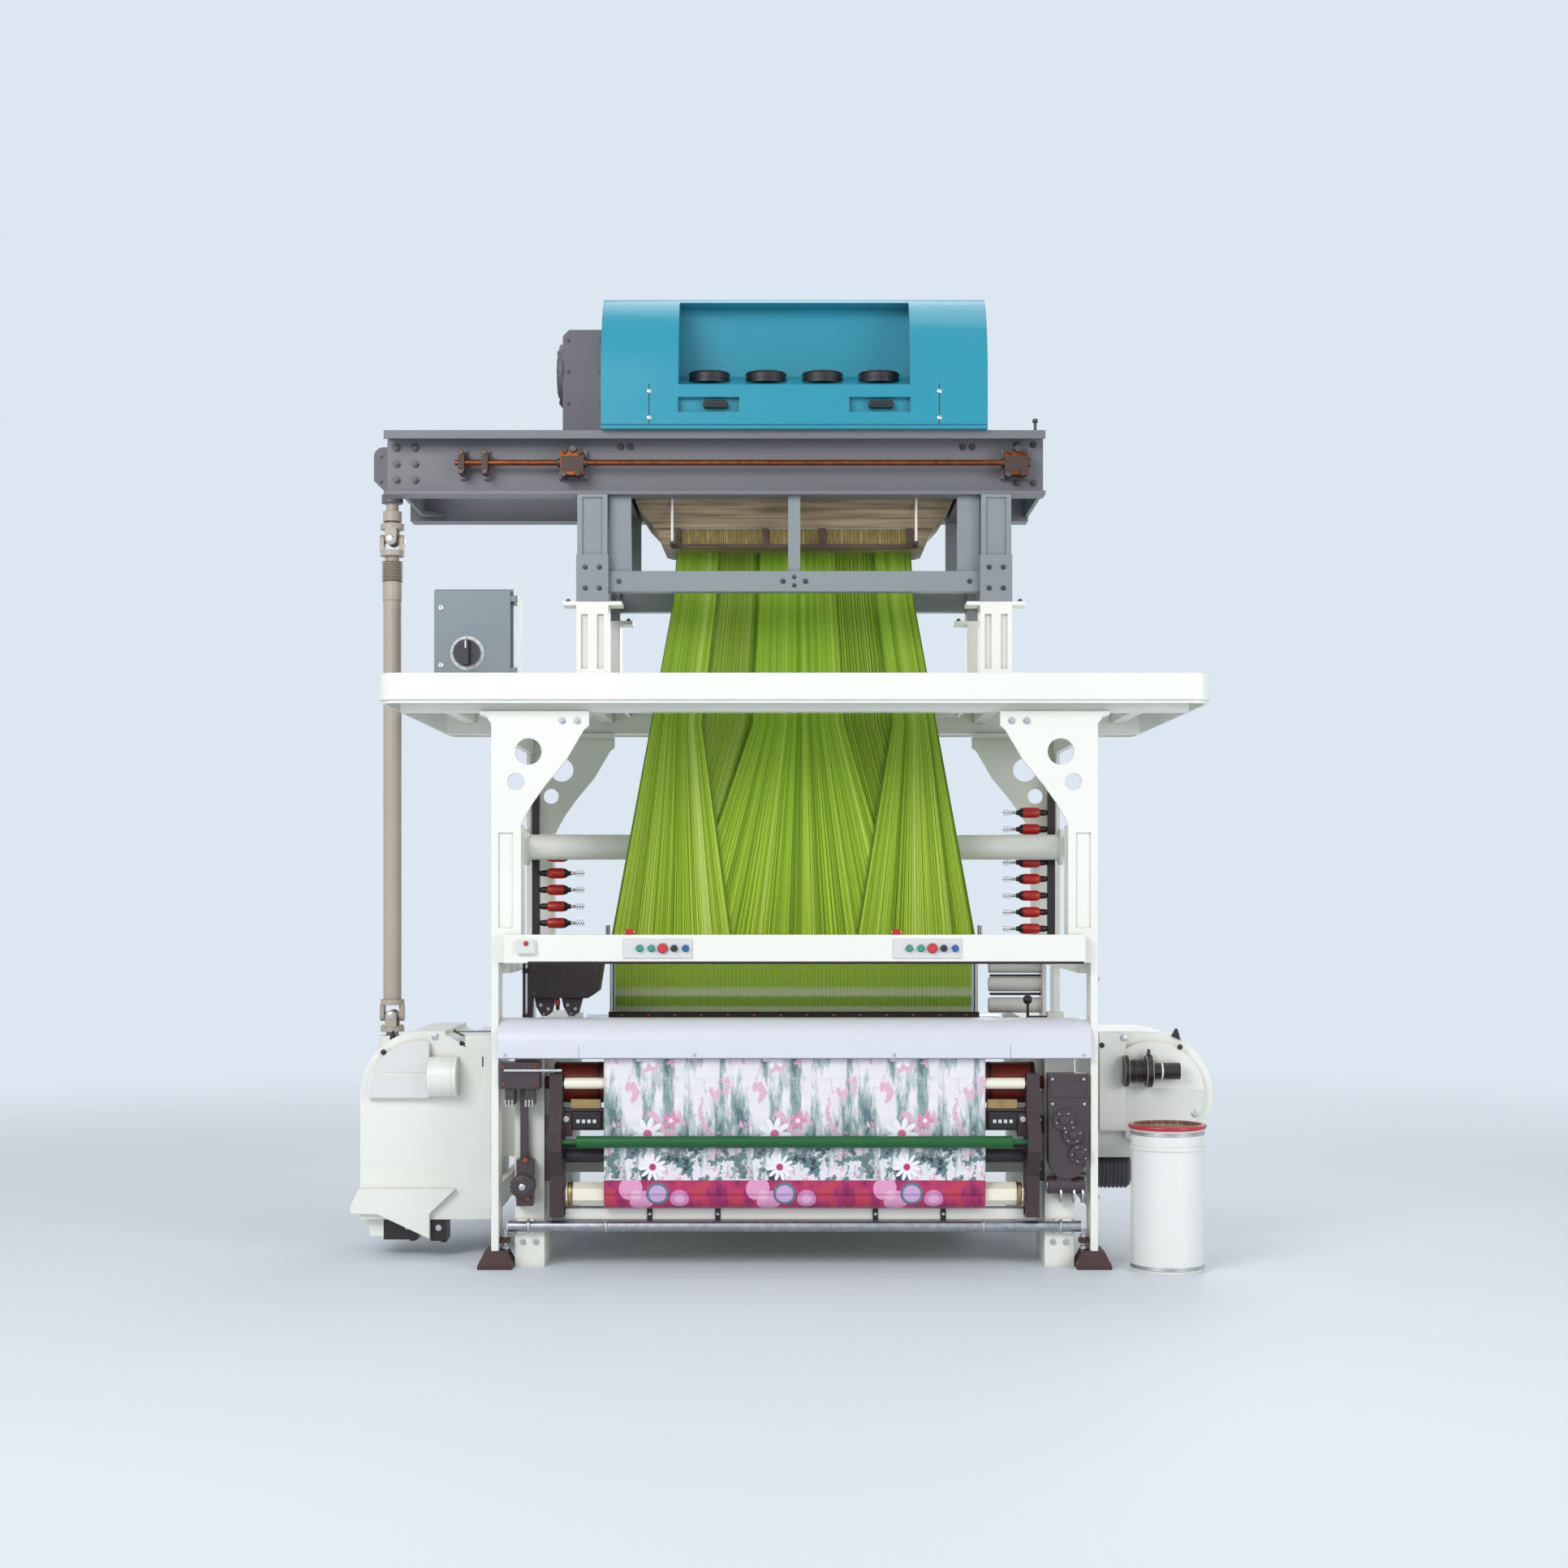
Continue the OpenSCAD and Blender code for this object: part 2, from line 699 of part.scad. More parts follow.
// Gearboxes: the angle box at the beam's end and the box on the jacquard's side
module drive_gearboxes() {
    angle_w = 96;
    right = -beam_left + 40;
    left = -cardan_x - angle_w / 2;
    top = head_z - 14;
    round = 30;
    cap_z = head_z + 228;
    color([0.36, 0.34, 0.37]) {
        difference() {
            union() {
                front_plate(cardan_y - 65, cardan_y + 65) {
                    polygon([[left, gearbox_z + 36], [left + 36, gearbox_z], [right, gearbox_z],
                        [right, top], [left + round, top], [left, top - round]]);
                    translate([left + round, top - round]) circle(round);
                }
                bar_z(stub_r + 14, gearbox_z - 26, gearbox_z, -cardan_x, cardan_y);
            }
            bar_z(stub_r + fit, gearbox_z - 27, gearbox_z + 40, -cardan_x, cardan_y);
            bar_x(head_shaft_r + fit, right - 30, right + 1, cardan_y, head_shaft_z);
        }
        difference() {
            union() {
                front_plate(cardan_y - head_gear_half, cardan_y + head_gear_half)
                    polygon([[-head_w / 2 - head_gear_w, beam_z + head_gear_lift],
                        [-head_w / 2, beam_z + head_gear_lift], [-head_w / 2, head_z + 355],
                        [-head_w / 2 - head_gear_w + 20, head_z + 355],
                        [-head_w / 2 - head_gear_w, head_z + 335]]);
                bar_x(100, -head_w / 2 - head_gear_w - 14, -head_w / 2 - head_gear_w,
                    cardan_y, cap_z);
                bar_x(70, -head_w / 2 - head_gear_w - 22, -head_w / 2 - head_gear_w - 14,
                    cardan_y, cap_z);
                for (a = [0:45:315])
                    bar_x(7, -head_w / 2 - head_gear_w - 20, -head_w / 2 - head_gear_w - 14,
                        cardan_y + 86 * cos(a), cap_z + 86 * sin(a));
            }
            bar_x(head_shaft_r + fit, -head_w / 2 - head_gear_w - 1,
                -head_w / 2 - head_gear_w + 30, cardan_y, head_shaft_z);
        }
    }
}

// Drive shaft between the angle box and the jacquard's gearbox
module head_drive_shaft() {
    x0 = -beam_left + 40 - 28;
    x1 = -head_w / 2 - head_gear_w + 28;
    middle = (x0 + x1) / 2;
    color([0.6, 0.58, 0.55]) {
        bar_x(head_shaft_r, x0, x1, cardan_y, head_shaft_z);
        bar_x(head_shaft_r + 14, middle - 35, middle + 35, cardan_y, head_shaft_z);
    }
}

// Harness board: stepped tan apron that leads the cords out of the head
module harness_board() {
    top_half = 205;
    bottom_half = 125;
    low_z = head_z - board_h;
    step_h = 30;
    steps = 4;
    lean = (top_half - bottom_half - 20) / steps;
    band_z = low_z + 64;
    step_side = [for (i = [0:steps - 1])
        each [[bottom_half + 20 + i * lean, band_z + i * step_h],
            [bottom_half + 20 + i * lean + lean * 0.7, band_z + (i + 1) * step_h - 4]]];
    half_w = board_w / 2;
    color([0.62, 0.52, 0.38]) {
        // The ends narrow in steps too
        intersection() {
            side_plate(-half_w, half_w)
                polygon(concat([[bottom_half, low_z], [bottom_half, band_z]], step_side,
                    [[top_half, head_z], [-top_half, head_z]],
                    [for (i = [len(step_side) - 1:-1:0]) [-step_side[i][0], step_side[i][1]]],
                    [[-bottom_half, band_z], [-bottom_half, low_z]]));
            front_plate(-top_half - 1, top_half + 1) for (s = [-1, 1])
                polygon([[0, low_z], [s * (half_w - 110), low_z], [s * (half_w - 88), low_z + 6],
                    [s * (half_w - 65), low_z + 60], [s * (half_w - 32), low_z + 96],
                    [s * half_w, low_z + 150], [s * half_w, head_z], [0, head_z]]);
        }
        // Upright dividers on the lower band
        front_and_rear() for (x = [-370, -92, 92, 370])
            block(x - 7, x + 7, -bottom_half - 14, -bottom_half, low_z + 4, band_z);
    }
}

// Half width of the harness at height z: narrow under the head and wide at the comber board
function harness_half(z) =
    z > ring_z ? 377 + 11 * (head_z - board_h - z) / (head_z - board_h - ring_z)
    : z > gantry_h ? 388 + 72 * (ring_z - z) / (ring_z - gantry_h)
    : 460 + (reed_w / 2 + 18 - 460) * (gantry_h - z) / (gantry_h - comber_z - comber_t);

// Harness: bundles of cords fanning down from the head to the comber board
module harness() {
    levels = [head_z - board_h, ring_z, gantry_h, comber_z + comber_t];
    bundles = 46;
    share = 0.55;
    ridge = 9;
    color([0.52, 0.72, 0.16]) {
        front_plate(harness_y - harness_half_d, harness_y + harness_half_d)
            polygon(concat([for (z = levels) [-harness_half(z), z]],
                [for (i = [3:-1:0]) [harness_half(levels[i]), levels[i]]]));
        for (i = [0:bundles - 1])
            front_plate(harness_y - harness_half_d - ridge, harness_y + harness_half_d + ridge)
                polygon(concat(
                    [for (z = levels) [harness_half(z) * (2 * i / bundles - 1), z]],
                    [for (k = [3:-1:0])
                        [harness_half(levels[k]) * (2 * (i + share) / bundles - 1), levels[k]]]));
    }
}

// Comber board: the drilled board that spreads the cords, on two bars across the gantry
module comber_board() {
    half = reed_w / 2 + 45;
    y0 = harness_y - harness_half_d - 15;
    y1 = harness_y + harness_half_d + 15;
    bar = 25;
    color([0.72, 0.56, 0.34]) difference() {
        union() {
            block(-half, half, y0, y1, comber_z, comber_z + comber_t);
            for (y = [y0 - bar, y1])
                block(5 - col_x, col_x - 5, y, y + bar, comber_z, comber_z + comber_t);
        }
        for (s = [-1, 1], y = heddle_rows)
            bar_z(guide_rod_r + fit, comber_z - 1, comber_z + comber_t + 1, s * guide_rod_x, y);
    }
}

// Control cabinet: a closed box on the deck with its hinge pin on the right
module control_cabinet() {
    color([0.45, 0.5, 0.52]) {
        block(cabinet_x, cabinet_x + cabinet_w, cabinet_y, cabinet_y + cabinet_d,
            deck_top, deck_top + cabinet_h);
        for (z = [deck_top + 20, deck_top + cabinet_h - 50]) {
            block(cabinet_x + cabinet_w, hinge_x + 5, cabinet_y + 1, cabinet_y + 14, z, z + 30);
            block(hinge_x - 5, hinge_x + 5, hinge_y, cabinet_y + 14, z, z + 9);
            bar_z(4, z, z + 29, hinge_x, hinge_y);
        }
    }
}

// Cabinet door: a folded leaf that turns on two pins at its right edge
module cabinet_door() {
    gap = 0.5;
    color([0.45, 0.5, 0.52]) difference() {
        union() {
            block(cabinet_x, hinge_x - 14, cabinet_y - door_t, cabinet_y - gap,
                deck_top + 8, deck_top + cabinet_h - 6);
            for (z = [deck_top + 20, deck_top + cabinet_h - 50]) {
                block(hinge_x - 14, hinge_x, hinge_y - 7, hinge_y + 3, z + 9.5, z + 29);
                bar_z(7, z + 9.5, z + 29, hinge_x, hinge_y);
            }
        }
        for (z = [deck_top + 20, deck_top + cabinet_h - 50])
            bar_z(4 + fit, z - 1, z + 31, hinge_x, hinge_y);
        bar_y(6 + fit, cabinet_y - door_t - 1, cabinet_y - 6, switch_x, switch_z);
    }
}

// Main switch: rotary handle on the cabinet door
module main_switch() {
    face = cabinet_y - door_t - 0.5;
    color([0.1, 0.1, 0.11]) {
        bar_y(switch_r, face - 14, face, switch_x, switch_z);
        bar_y(6, face - 1, cabinet_y - 8, switch_x, switch_z);
        block(switch_x - 9, switch_x + 9, face - 36, face - 14,
            switch_z - switch_r + 4, switch_z + switch_r - 4);
    }
}

// Outline of a loom side frame in (y, z)
module frame_outline() {
    arch_h = frame_h - 520;
    corner = 50;
    arch = [[-250, 0], [-250, arch_h - corner], [corner - 250, arch_h], [450 - corner, arch_h],
        [450, arch_h - corner], [450, 0]];
    difference() {
        polygon(concat([[frame_front, 0], [frame_front, nose_z + nose_r]],
            [[frame_front + 60, nose_z + nose_r], [frame_front + 80, frame_h]],
            [[rapier_y - 45, frame_h], [rapier_y - 45, tape_z - 32],
                [rapier_y + 55, tape_z - 32], [rapier_y + 55, frame_h]],
            [[700, frame_h], [frame_rear - 130, backrest[1] + 60],
                [frame_rear, backrest[1] + 60], [frame_rear, backrest[1] - 60],
                [760, 470], [760, 0]],
            [for (i = [5:-1:0]) arch[i]]));
        translate(take_up) circle(20 + fit);
        translate(backrest) circle(20 + fit);
        translate(warp_axis) circle(30 + fit);
        translate([sley_y, sley_z]) circle(24 + fit);
    }
}

// Side frame casting: a web with a deep rim, drawn on the right-hand side
module frame_casting() {
    web = 30;
    low = 60;
    rim = frame_h - 470;
    pocket_top = frame_h - 120;
    difference() {
        side_plate(frame_in, frame_out) frame_outline();
        side_plate(frame_in + web, frame_out + 1) {
            polygon([[-450, low], [-285, low], [-285, pocket_top - 120],
                [-330, pocket_top - 120], [-450, pocket_top - 220]]);
            polygon([[-190, rim], [-95, rim], [-95, rim + 130], [20, rim + 130], [20, rim],
                [380, rim], [540, pocket_top - 130], [540, pocket_top], [-190, pocket_top]]);
            polygon([[490, low], [725, low], [725, rim - 10], [560, rim - 10],
                [490, rim - 50]]);
        }
    }
}

// Left side frame of the loom
module loom_frame_left() {
    color([0.93, 0.93, 0.91]) mirror([1, 0, 0]) frame_casting();
}

// Right side frame of the loom, with the bearing block of the hand lever
module loom_frame_right() {
    color([0.93, 0.93, 0.91]) {
        frame_casting();
        difference() {
            block(frame_in + 30, frame_in + 80, -300, -250, frame_h, frame_h + 44);
            bar_x(8 + fit, frame_in + 29, frame_in + 81, -275, frame_h + 24);
        }
    }
}

// Hand lever with a ball knob
module hand_lever() {
    lever_x = frame_in - 34;
    color([0.12, 0.12, 0.13]) {
        bar_x(8, lever_x, frame_in + 78, -275, frame_h + 24);
        block(lever_x, lever_x + 8, -283, -267, frame_h + 16, frame_h + 74);
        translate([lever_x + 4, -275, frame_h + 82]) sphere(r = 15);
    }
}

// Cross bars between the side frames: breast beam, spring beam, rear tie, rest bar under the
// warp and foot pipe
module cross_bars() {
    pipe_r = 16;
    pipe_z = 125;
    rest_y = 560;
    color([0.88, 0.88, 0.87]) {
        side_plate(-frame_in, frame_in) {
            translate([nose_y, nose_z]) circle(nose_r);
            translate([nose_y, nose_z - nose_r]) square([85, 2 * nose_r]);
        }
        block(-frame_in, frame_in, harness_y - 40, harness_y + 60, 230, 300);
        bar_x(45, -frame_in, frame_in, 480, 640);
        block(-frame_in, frame_in, rest_y, rest_y + 40, weave_z - sheet_t / 2 - 45,
            weave_z - sheet_t / 2);
        bar_x(pipe_r, 22 - col_in, col_in - 22, frame_front - pipe_r, pipe_z);
        both_sides()
            block(frame_in + 30, frame_in + 80, frame_front - pipe_r, frame_front,
                pipe_z - 22, pipe_z + 22);
    }
}

// Cloth cradle: two dark arms joined by the tray beam and the counter rail
module cloth_cradle() {
    rail_y0 = hang_y + 22;
    color([0.28, 0.2, 0.2]) {
        difference() {
            both_sides() {
                side_plate(arm_in, arm_in + arm_t)
                    polygon([[cloth_roll[0] - 32, 155], [-430, 155], [-430, 300], [-445, 480],
                        [press[0] + 18, 490], [press[0] + 18, 590], [press[0] - 18, 590],
                        [press[0] - 18, 480], [spreader[0] - 20, 420], [spreader[0] - 20, 360],
                        [cloth_roll[0] - 38, 280]]);
                block(arm_in + arm_t, frame_in, -475, -435, 260, 320);
                block(arm_in + arm_t, frame_in, -475, -435, 405, 460);
            }
            for (p = [[press, 8], [spreader, 8], [guide, 10], [cloth_roll, 12]])
                bar_x(p[1] + fit, -arm_in - arm_t - 1, arm_in + arm_t + 1, p[0][0], p[0][1]);
        }
        block(-arm_in, arm_in, -472, -432, 160, 176);
        block(-arm_in, arm_in, rail_y0, rail_y0 + 14, 418, 476);
        block(-arm_in, arm_in, rail_y0 - 6, rail_y0 + 26, 476, 484);
        both_sides() block(arm_in - 26, arm_in, rail_y0 - 8, rail_y0 + 22, 400, 470);
    }
}

// Breast cover: a rolled sheet between the gantry columns with an end plate at each side
module breast_cover() {
    wall = 4;
    end_t = 6;
    low_z = nose_z - 33;
    top_z = 755;
    cover_front = hang_y - 25;
    bend = 78;
    back_y = -440;
    outer = concat([[cover_front, low_z]],
        [for (a = [0:9:90]) [cover_front + bend * (1 - cos(a)), top_z - bend + bend * sin(a)]],
        [[back_y, top_z]]);
    inner = concat([[cover_front + wall, low_z]],
        [for (a = [0:9:90])
            [cover_front + wall + (bend - wall) * (1 - cos(a)), top_z - bend + (bend - wall) * sin(a)]],
        [[back_y, top_z - wall]]);
    color([0.84, 0.84, 0.88]) {
        side_plate(-col_in, col_in)
            polygon(concat(outer, [for (i = [len(inner) - 1:-1:0]) inner[i]]));
        both_sides() side_plate(col_in - end_t, col_in)
            polygon(concat(outer, [[back_y, low_z]]));
    }
}

// Rectangle between two corners
module rect(x0, x1, z0, z1) {
    translate([x0, z0]) square([x1 - x0, z1 - z0]);
}

// Hollow that takes a rapier wheel, its axle and the way out for its tape
module wheel_room(x, towards) {
    half = tape_w / 2 + 10;
    bar_y(wheel_r + 7, rapier_y - half, rapier_y + half, x, wheel_z);
    bar_y(25 + fit, rapier_y - 90, rapier_y + 90, x, wheel_z);
    way = towards * 400;
    block(min(x, x + way), max(x, x + way), rapier_y - half, rapier_y + half,
        tape_z - 14, tape_z + 8);
}

// Left drive housing: a dome over the rapier wheel, a square shoulder towards the column, a
// flared skirt below and the cardan's lower bearing on top
module drive_housing() {
    x = -wheel_left_x;
    edge = x + housing_w / 2;
    out = -cardan_x - 54;
    y0 = rapier_y - 225;
    y1 = rapier_y + 275;
    low = 119;
    neck_z = 300;
    panel_x = x + 24;
    notch_x = x + 71;
    post_x = edge - 80;
    color([0.95, 0.95, 0.93]) difference() {
        union() {
            front_plate(y0 + 24, y1) {
                translate([x, wheel_z]) circle(cover_r);
                rect(out, edge, low, wheel_z);
                rect(x, notch_x, wheel_z - 1, wheel_z + cover_r);
                rect(notch_x - 1, post_x + 1, wheel_z - 1, wheel_z + 129);
                rect(post_x, edge, wheel_z - 1, wheel_z + 181);
            }
            // Raised panel on the dome and the drum beside it
            front_plate(y0, y0 + 25) intersection() {
                translate([x, wheel_z]) circle(cover_r - 28);
                rect(out, panel_x, wheel_z - 13, wheel_z + cover_r - 39);
            }
            bar_x(62, panel_x, panel_x + 88, y0 + 10, wheel_z + 54);
            // Flared skirt with its slanting lip, the wall behind it and two switch boxes
            front_plate(y0 + 2, y0 + 60)
                polygon([[out - 2, low + 96], [out - 28, low + 40], [out - 26, low + 21],
                    [out + 58, low + 18], [panel_x, low - 57], [panel_x, low + 20],
                    [panel_x + 80, low + 96]]);
            front_plate(y0 + 59, y0 + 200)
                polygon([[out + 2, low + 30], [out + 28, low - 57], [out + 70, low - 57],
                    [out + 70, low + 30]]);
            block(out + 69, out + 174, y0 + 59, y0 + 120, low - 67, low + 5);
            block(panel_x, panel_x + 49, y0 + 30, y0 + 110, low - 67, low + 5);
            block(edge - 1, -frame_out, rapier_y - 60, rapier_y + 60, neck_z, neck_z + 200);
            bar_z(stub_r + 22, wheel_z, bearing_top, -cardan_x, cardan_y);
        }
        wheel_room(x, 1);
        bar_z(stub_r + fit, bearing_top - bearing_depth, bearing_top + 1, -cardan_x, cardan_y);
        // Room for the joint above its bearing
        bar_z(stub_r + 10, bearing_top, cardan_low_z, -cardan_x, cardan_y);
        bar_z(joint_room, cardan_low_z - 53, cardan_low_z + 60, -cardan_x, cardan_y);
    }
}

// Right rapier cover: a dome, a square shoulder towards the column and a flanged drive in front
module rapier_cover() {
    x = wheel_right_x;
    edge = x - cover_w / 2;
    dome_r = cover_r - 3;
    y0 = rapier_y - 200;
    y1 = rapier_y + 200;
    low = wheel_z - wheel_r - 21;
    neck_z = 320;
    drive_z = wheel_z + 72;
    drive_x = x - 94;
    color([0.95, 0.95, 0.93]) difference() {
        union() {
            front_plate(y0 + 24, y1) {
                translate([x, wheel_z]) circle(dome_r);
                rect(edge, x, low, wheel_z + dome_r);
            }
            front_plate(y0, y0 + 25) intersection() {
                translate([x, wheel_z]) circle(dome_r - 30);
                rect(x - 85, x + dome_r, wheel_z - dome_r, wheel_z + dome_r);
            }
            block(edge + 25, x - 84, y0 - 10, y0 + 25, wheel_z - 115, wheel_z + dome_r - 4);
            block(frame_out, edge + 1, rapier_y - 60, rapier_y + 60, neck_z, neck_z + 180);
            for (part = [[0, 14, 48], [13, 69, 34], [68, 88, 50], [87, 178, 25]])
                bar_x(part[2], drive_x + part[0], drive_x + part[1], y0 - 30, drive_z);
        }
        wheel_room(x, -1);
    }
}

// Rapier wheel: spoked rim with its axle, seen along Y
module rapier_wheel(x) {
    half = tape_w / 2;
    difference() {
        bar_y(wheel_r, rapier_y - half, rapier_y + half, x, wheel_z);
        for (a = [0:60:300])
            bar_y(44, rapier_y - half - 1, rapier_y + half + 1,
                x + 105 * cos(a), wheel_z + 105 * sin(a));
    }
    bar_y(25, rapier_y - 88, rapier_y + 88, x, wheel_z);
    bar_y(40, rapier_y - half - 6, rapier_y + half + 6, x, wheel_z);
}

// Left rapier wheel
module rapier_wheel_left() {
    color([0.55, 0.57, 0.6]) rapier_wheel(-wheel_left_x);
}

// Right rapier wheel
module rapier_wheel_right() {
    color([0.55, 0.57, 0.6]) rapier_wheel(wheel_right_x);
}

// Rapier: tape that leaves the wheel at its top, with the gripper head on its end
module rapier(from, tip) {
    grip = 70;
    side = from < tip ? 1 : -1;
    head_x = tip - side * grip;
    z = tape_z + tape_gap;
    half = tape_w / 2;
    block(min(from, head_x), max(from, head_x), rapier_y - half, rapier_y + half, z, z + tape_t);
    front_plate(rapier_y - half + 4, rapier_y + half - 4)
        polygon([[head_x, z - 8], [head_x + side * (grip - 24), z - 8], [tip, z],
            [tip, z + 4], [head_x + side * (grip - 30), z + 6], [head_x, z + 6]]);
}

// Left rapier, the giver
module rapier_left() {
    color([0.2, 0.2, 0.21]) rapier(-wheel_left_x, -rapier_tip);
}

// Right rapier, the taker
module rapier_right() {
    color([0.2, 0.2, 0.21]) rapier(wheel_right_x, rapier_tip);
}

// Sley: rocking shaft, four swords and the beam that holds the reed
module sley() {
    beam = [reed_y - 22, 610];
    beam_top = weave_z + 50 - reed_h;
    half = reed_w / 2 + 25;
    outer_sword = reed_w / 2 - 95;
    inner_sword = 160;
    color([0.45, 0.46, 0.48]) {
        bar_x(24, -frame_in - 60, frame_in + 60, sley_y, sley_z);
        bar_x(32, 10 - frame_in, frame_in - 10, sley_y, sley_z);
        for (x = [-outer_sword, -inner_sword, inner_sword, outer_sword])
            side_plate(x - 15, x + 15)
                polygon([[sley_y - 28, sley_z], [sley_y + 28, sley_z], [beam[0] + 40, beam[1]],
                    [beam[0] + 4, beam[1]]]);
        difference() {
            block(-half, half, beam[0], beam[0] + 46, beam[1] - 6, beam_top + 14);
            block(-half + 5, half - 5, reed_y - 4, reed_y + 4, beam_top, beam_top + 15);
        }
    }
}

// Reed: a comb of dents between two rails, seated in the sley's groove
module reed() {
    half = reed_w / 2 + 20;
    low = weave_z + 50 - reed_h;
    high = weave_z + 50;
    rail = 16;
    pitch = (2 * half - 20) / dent_count;
    color([0.5, 0.5, 0.52]) {
        front_plate(reed_y - 4, reed_y + 4) difference() {
            translate([-half, low]) square([2 * half, reed_h]);
            for (i = [0:dent_count - 1])
                translate([10 - half + i * pitch + 1.5, low + rail])
                    square([pitch - 3, reed_h - 2 * rail]);
        }
        block(-half, half, reed_y - 9, reed_y - 4, high - 12, high);
        block(-half, half, reed_y + 4, reed_y + 9, high - 12, high);
    }
}

// Bank of heddles: upright wires with eyes at the weaving line, between two rails
module heddle_bank(y) {
    low = 345;
    high = comber_z - heddle_lift - 5;
    half = reed_w / 2 + 5;
    pitch = 2 * half / heddle_count;
    rail = 14;
    wire = 3.2;
    front_plate(y - 5, y + 5) difference() {
        translate([-half - wire / 2, low]) square([2 * half + wire, high - low]);
        for (i = [0:heddle_count - 1]) translate([-half + i * pitch + wire / 2, 0]) {
            translate([0, low + rail]) square([pitch - wire, weave_z - low - rail - 12]);
            translate([0, weave_z + 12]) square([pitch - wire, high - weave_z - rail - 12]);
        }
    }
    both_sides() {
        block(half, guide_rod_x + guide_rod_r + 2, y - 5, y + 5, high - rail, high);
        bar_z(guide_rod_r, high - 1, comber_z + comber_t + heddle_lift + 15, guide_rod_x, y);
    }
}

// Front bank of heddles
module heddles_front() {
    color([0.72, 0.75, 0.66]) heddle_bank(heddle_rows[0]);
}

// Rear bank of heddles
module heddles_rear() {
    color([0.72, 0.75, 0.66]) heddle_bank(heddle_rows[1]);
}

// Warp beam: barrel with its wound yarn, two flanges and the axle
module warp_beam() {
    inside = reed_w / 2 + 15;
    color([0.75, 0.72, 0.62]) {
        bar_x(30, -frame_in - 70, frame_in + 70, warp_axis[0], warp_axis[1]);
        bar_x(warp_r, -inside, inside, warp_axis[0], warp_axis[1]);
        both_sides() difference() {
            union() {
                bar_x(flange_r, inside, inside + 14, warp_axis[0], warp_axis[1]);
                bar_x(80, inside, inside + 50, warp_axis[0], warp_axis[1]);
            }
            for (a = [0:60:300])
                bar_x(22, inside - 1, inside + 15, warp_axis[0] + 255 * cos(a),
                    warp_axis[1] + 255 * sin(a));
        }
    }
}

// Backrest roller at the rear, over which the warp turns forward
module backrest_roller() {
    color([0.7, 0.71, 0.72]) {
        bar_x(backrest_r, 20 - frame_in, frame_in - 20, backrest[0], backrest[1]);
        bar_x(20, -frame_in - 70, frame_in + 70, backrest[0], backrest[1]);
    }
}

// Quarter ring in (y, z) where a sheet turns over a bar of radius r, towards side * Y and up
module sheet_bend(r, side) {
    difference() {
        intersection() {
            circle(r + sheet_t);
            translate([side > 0 ? 0 : -r - sheet_t, 0]) square(r + sheet_t);
        }
        circle(r);
    }
}

// Warp sheet: from the beam up over the backrest and forward to the heddles
module warp_sheet() {
    near = backrest_r + sheet_gap;
    start = harness_y + 70;
    foot = [warp_axis[0] + warp_r + sheet_gap, warp_axis[1]];
    turn = [for (a = [0:7.5:90]) [cos(a), sin(a)]];
    color([0.86, 0.84, 0.78]) side_plate(-reed_w / 2, reed_w / 2)
        polygon(concat([foot], [for (p = turn) backrest + near * p],
            [[start, backrest[1] + near], [start, backrest[1] + near + sheet_t]],
            [for (i = [len(turn) - 1:-1:0]) backrest + (near + sheet_t) * turn[i]],
            [foot + [sheet_t, 0]]));
}

// Cloth: from the fell over the breast beam and down in front of the rollers
module cloth() {
    foot_z = cloth_roll[1];
    color([0.86, 0.85, 0.87]) side_plate(-reed_w / 2, reed_w / 2) {
        translate([nose_y, nose_z]) sheet_bend(nose_r, -1);
        translate([nose_y, nose_z + nose_r]) square([fell_y - nose_y, sheet_t]);
        translate([hang_y - sheet_t, foot_z]) square([sheet_t, nose_z - foot_z]);
    }
}

// Plain roller on a thin journal
module roller(r, journal_r, half, reach, at) {
    bar_x(r, -half, half, at[0], at[1]);
    bar_x(journal_r, -reach, reach, at[0], at[1]);
}

// Take-up roller with its rubber cover
module take_up_roller() {
    color([0.5, 0.13, 0.08]) roller(take_up_r, 20, frame_in - 29, frame_in + 70, take_up);
}

// Press roller
module press_roller() {
    color([0.96, 0.94, 0.84]) roller(press_r, 8, arm_in - 5, arm_in + 30, press);
}

// Spreader roller in front of the cloth
module spreader_roller() {
    color([0.02, 0.3, 0.1]) roller(spreader_r, 8, arm_in - 45, arm_in + 30, spreader);
}

// Guide roller behind the cloth
module guide_roller() {
    color([0.15, 0.13, 0.14]) roller(guide_r, 10, arm_in - 10, arm_in + 30, guide);
}

// Cloth roller: a six-sided tube with the wound cloth on it
module cloth_roller() {
    color([0.9, 0.9, 0.86]) {
        bar_x(12, -arm_in - 30, arm_in + 30, cloth_roll[0], cloth_roll[1]);
        translate([8 - arm_in, cloth_roll[0], cloth_roll[1]]) rotate([0, 90, 0])
            cylinder(h = 2 * arm_in - 16, r = cloth_tube_w / 2 / cos(30), $fn = 6);
        bar_x(cloth_roll_r, -reed_w / 2, reed_w / 2, cloth_roll[0], cloth_roll[1]);
    }
}

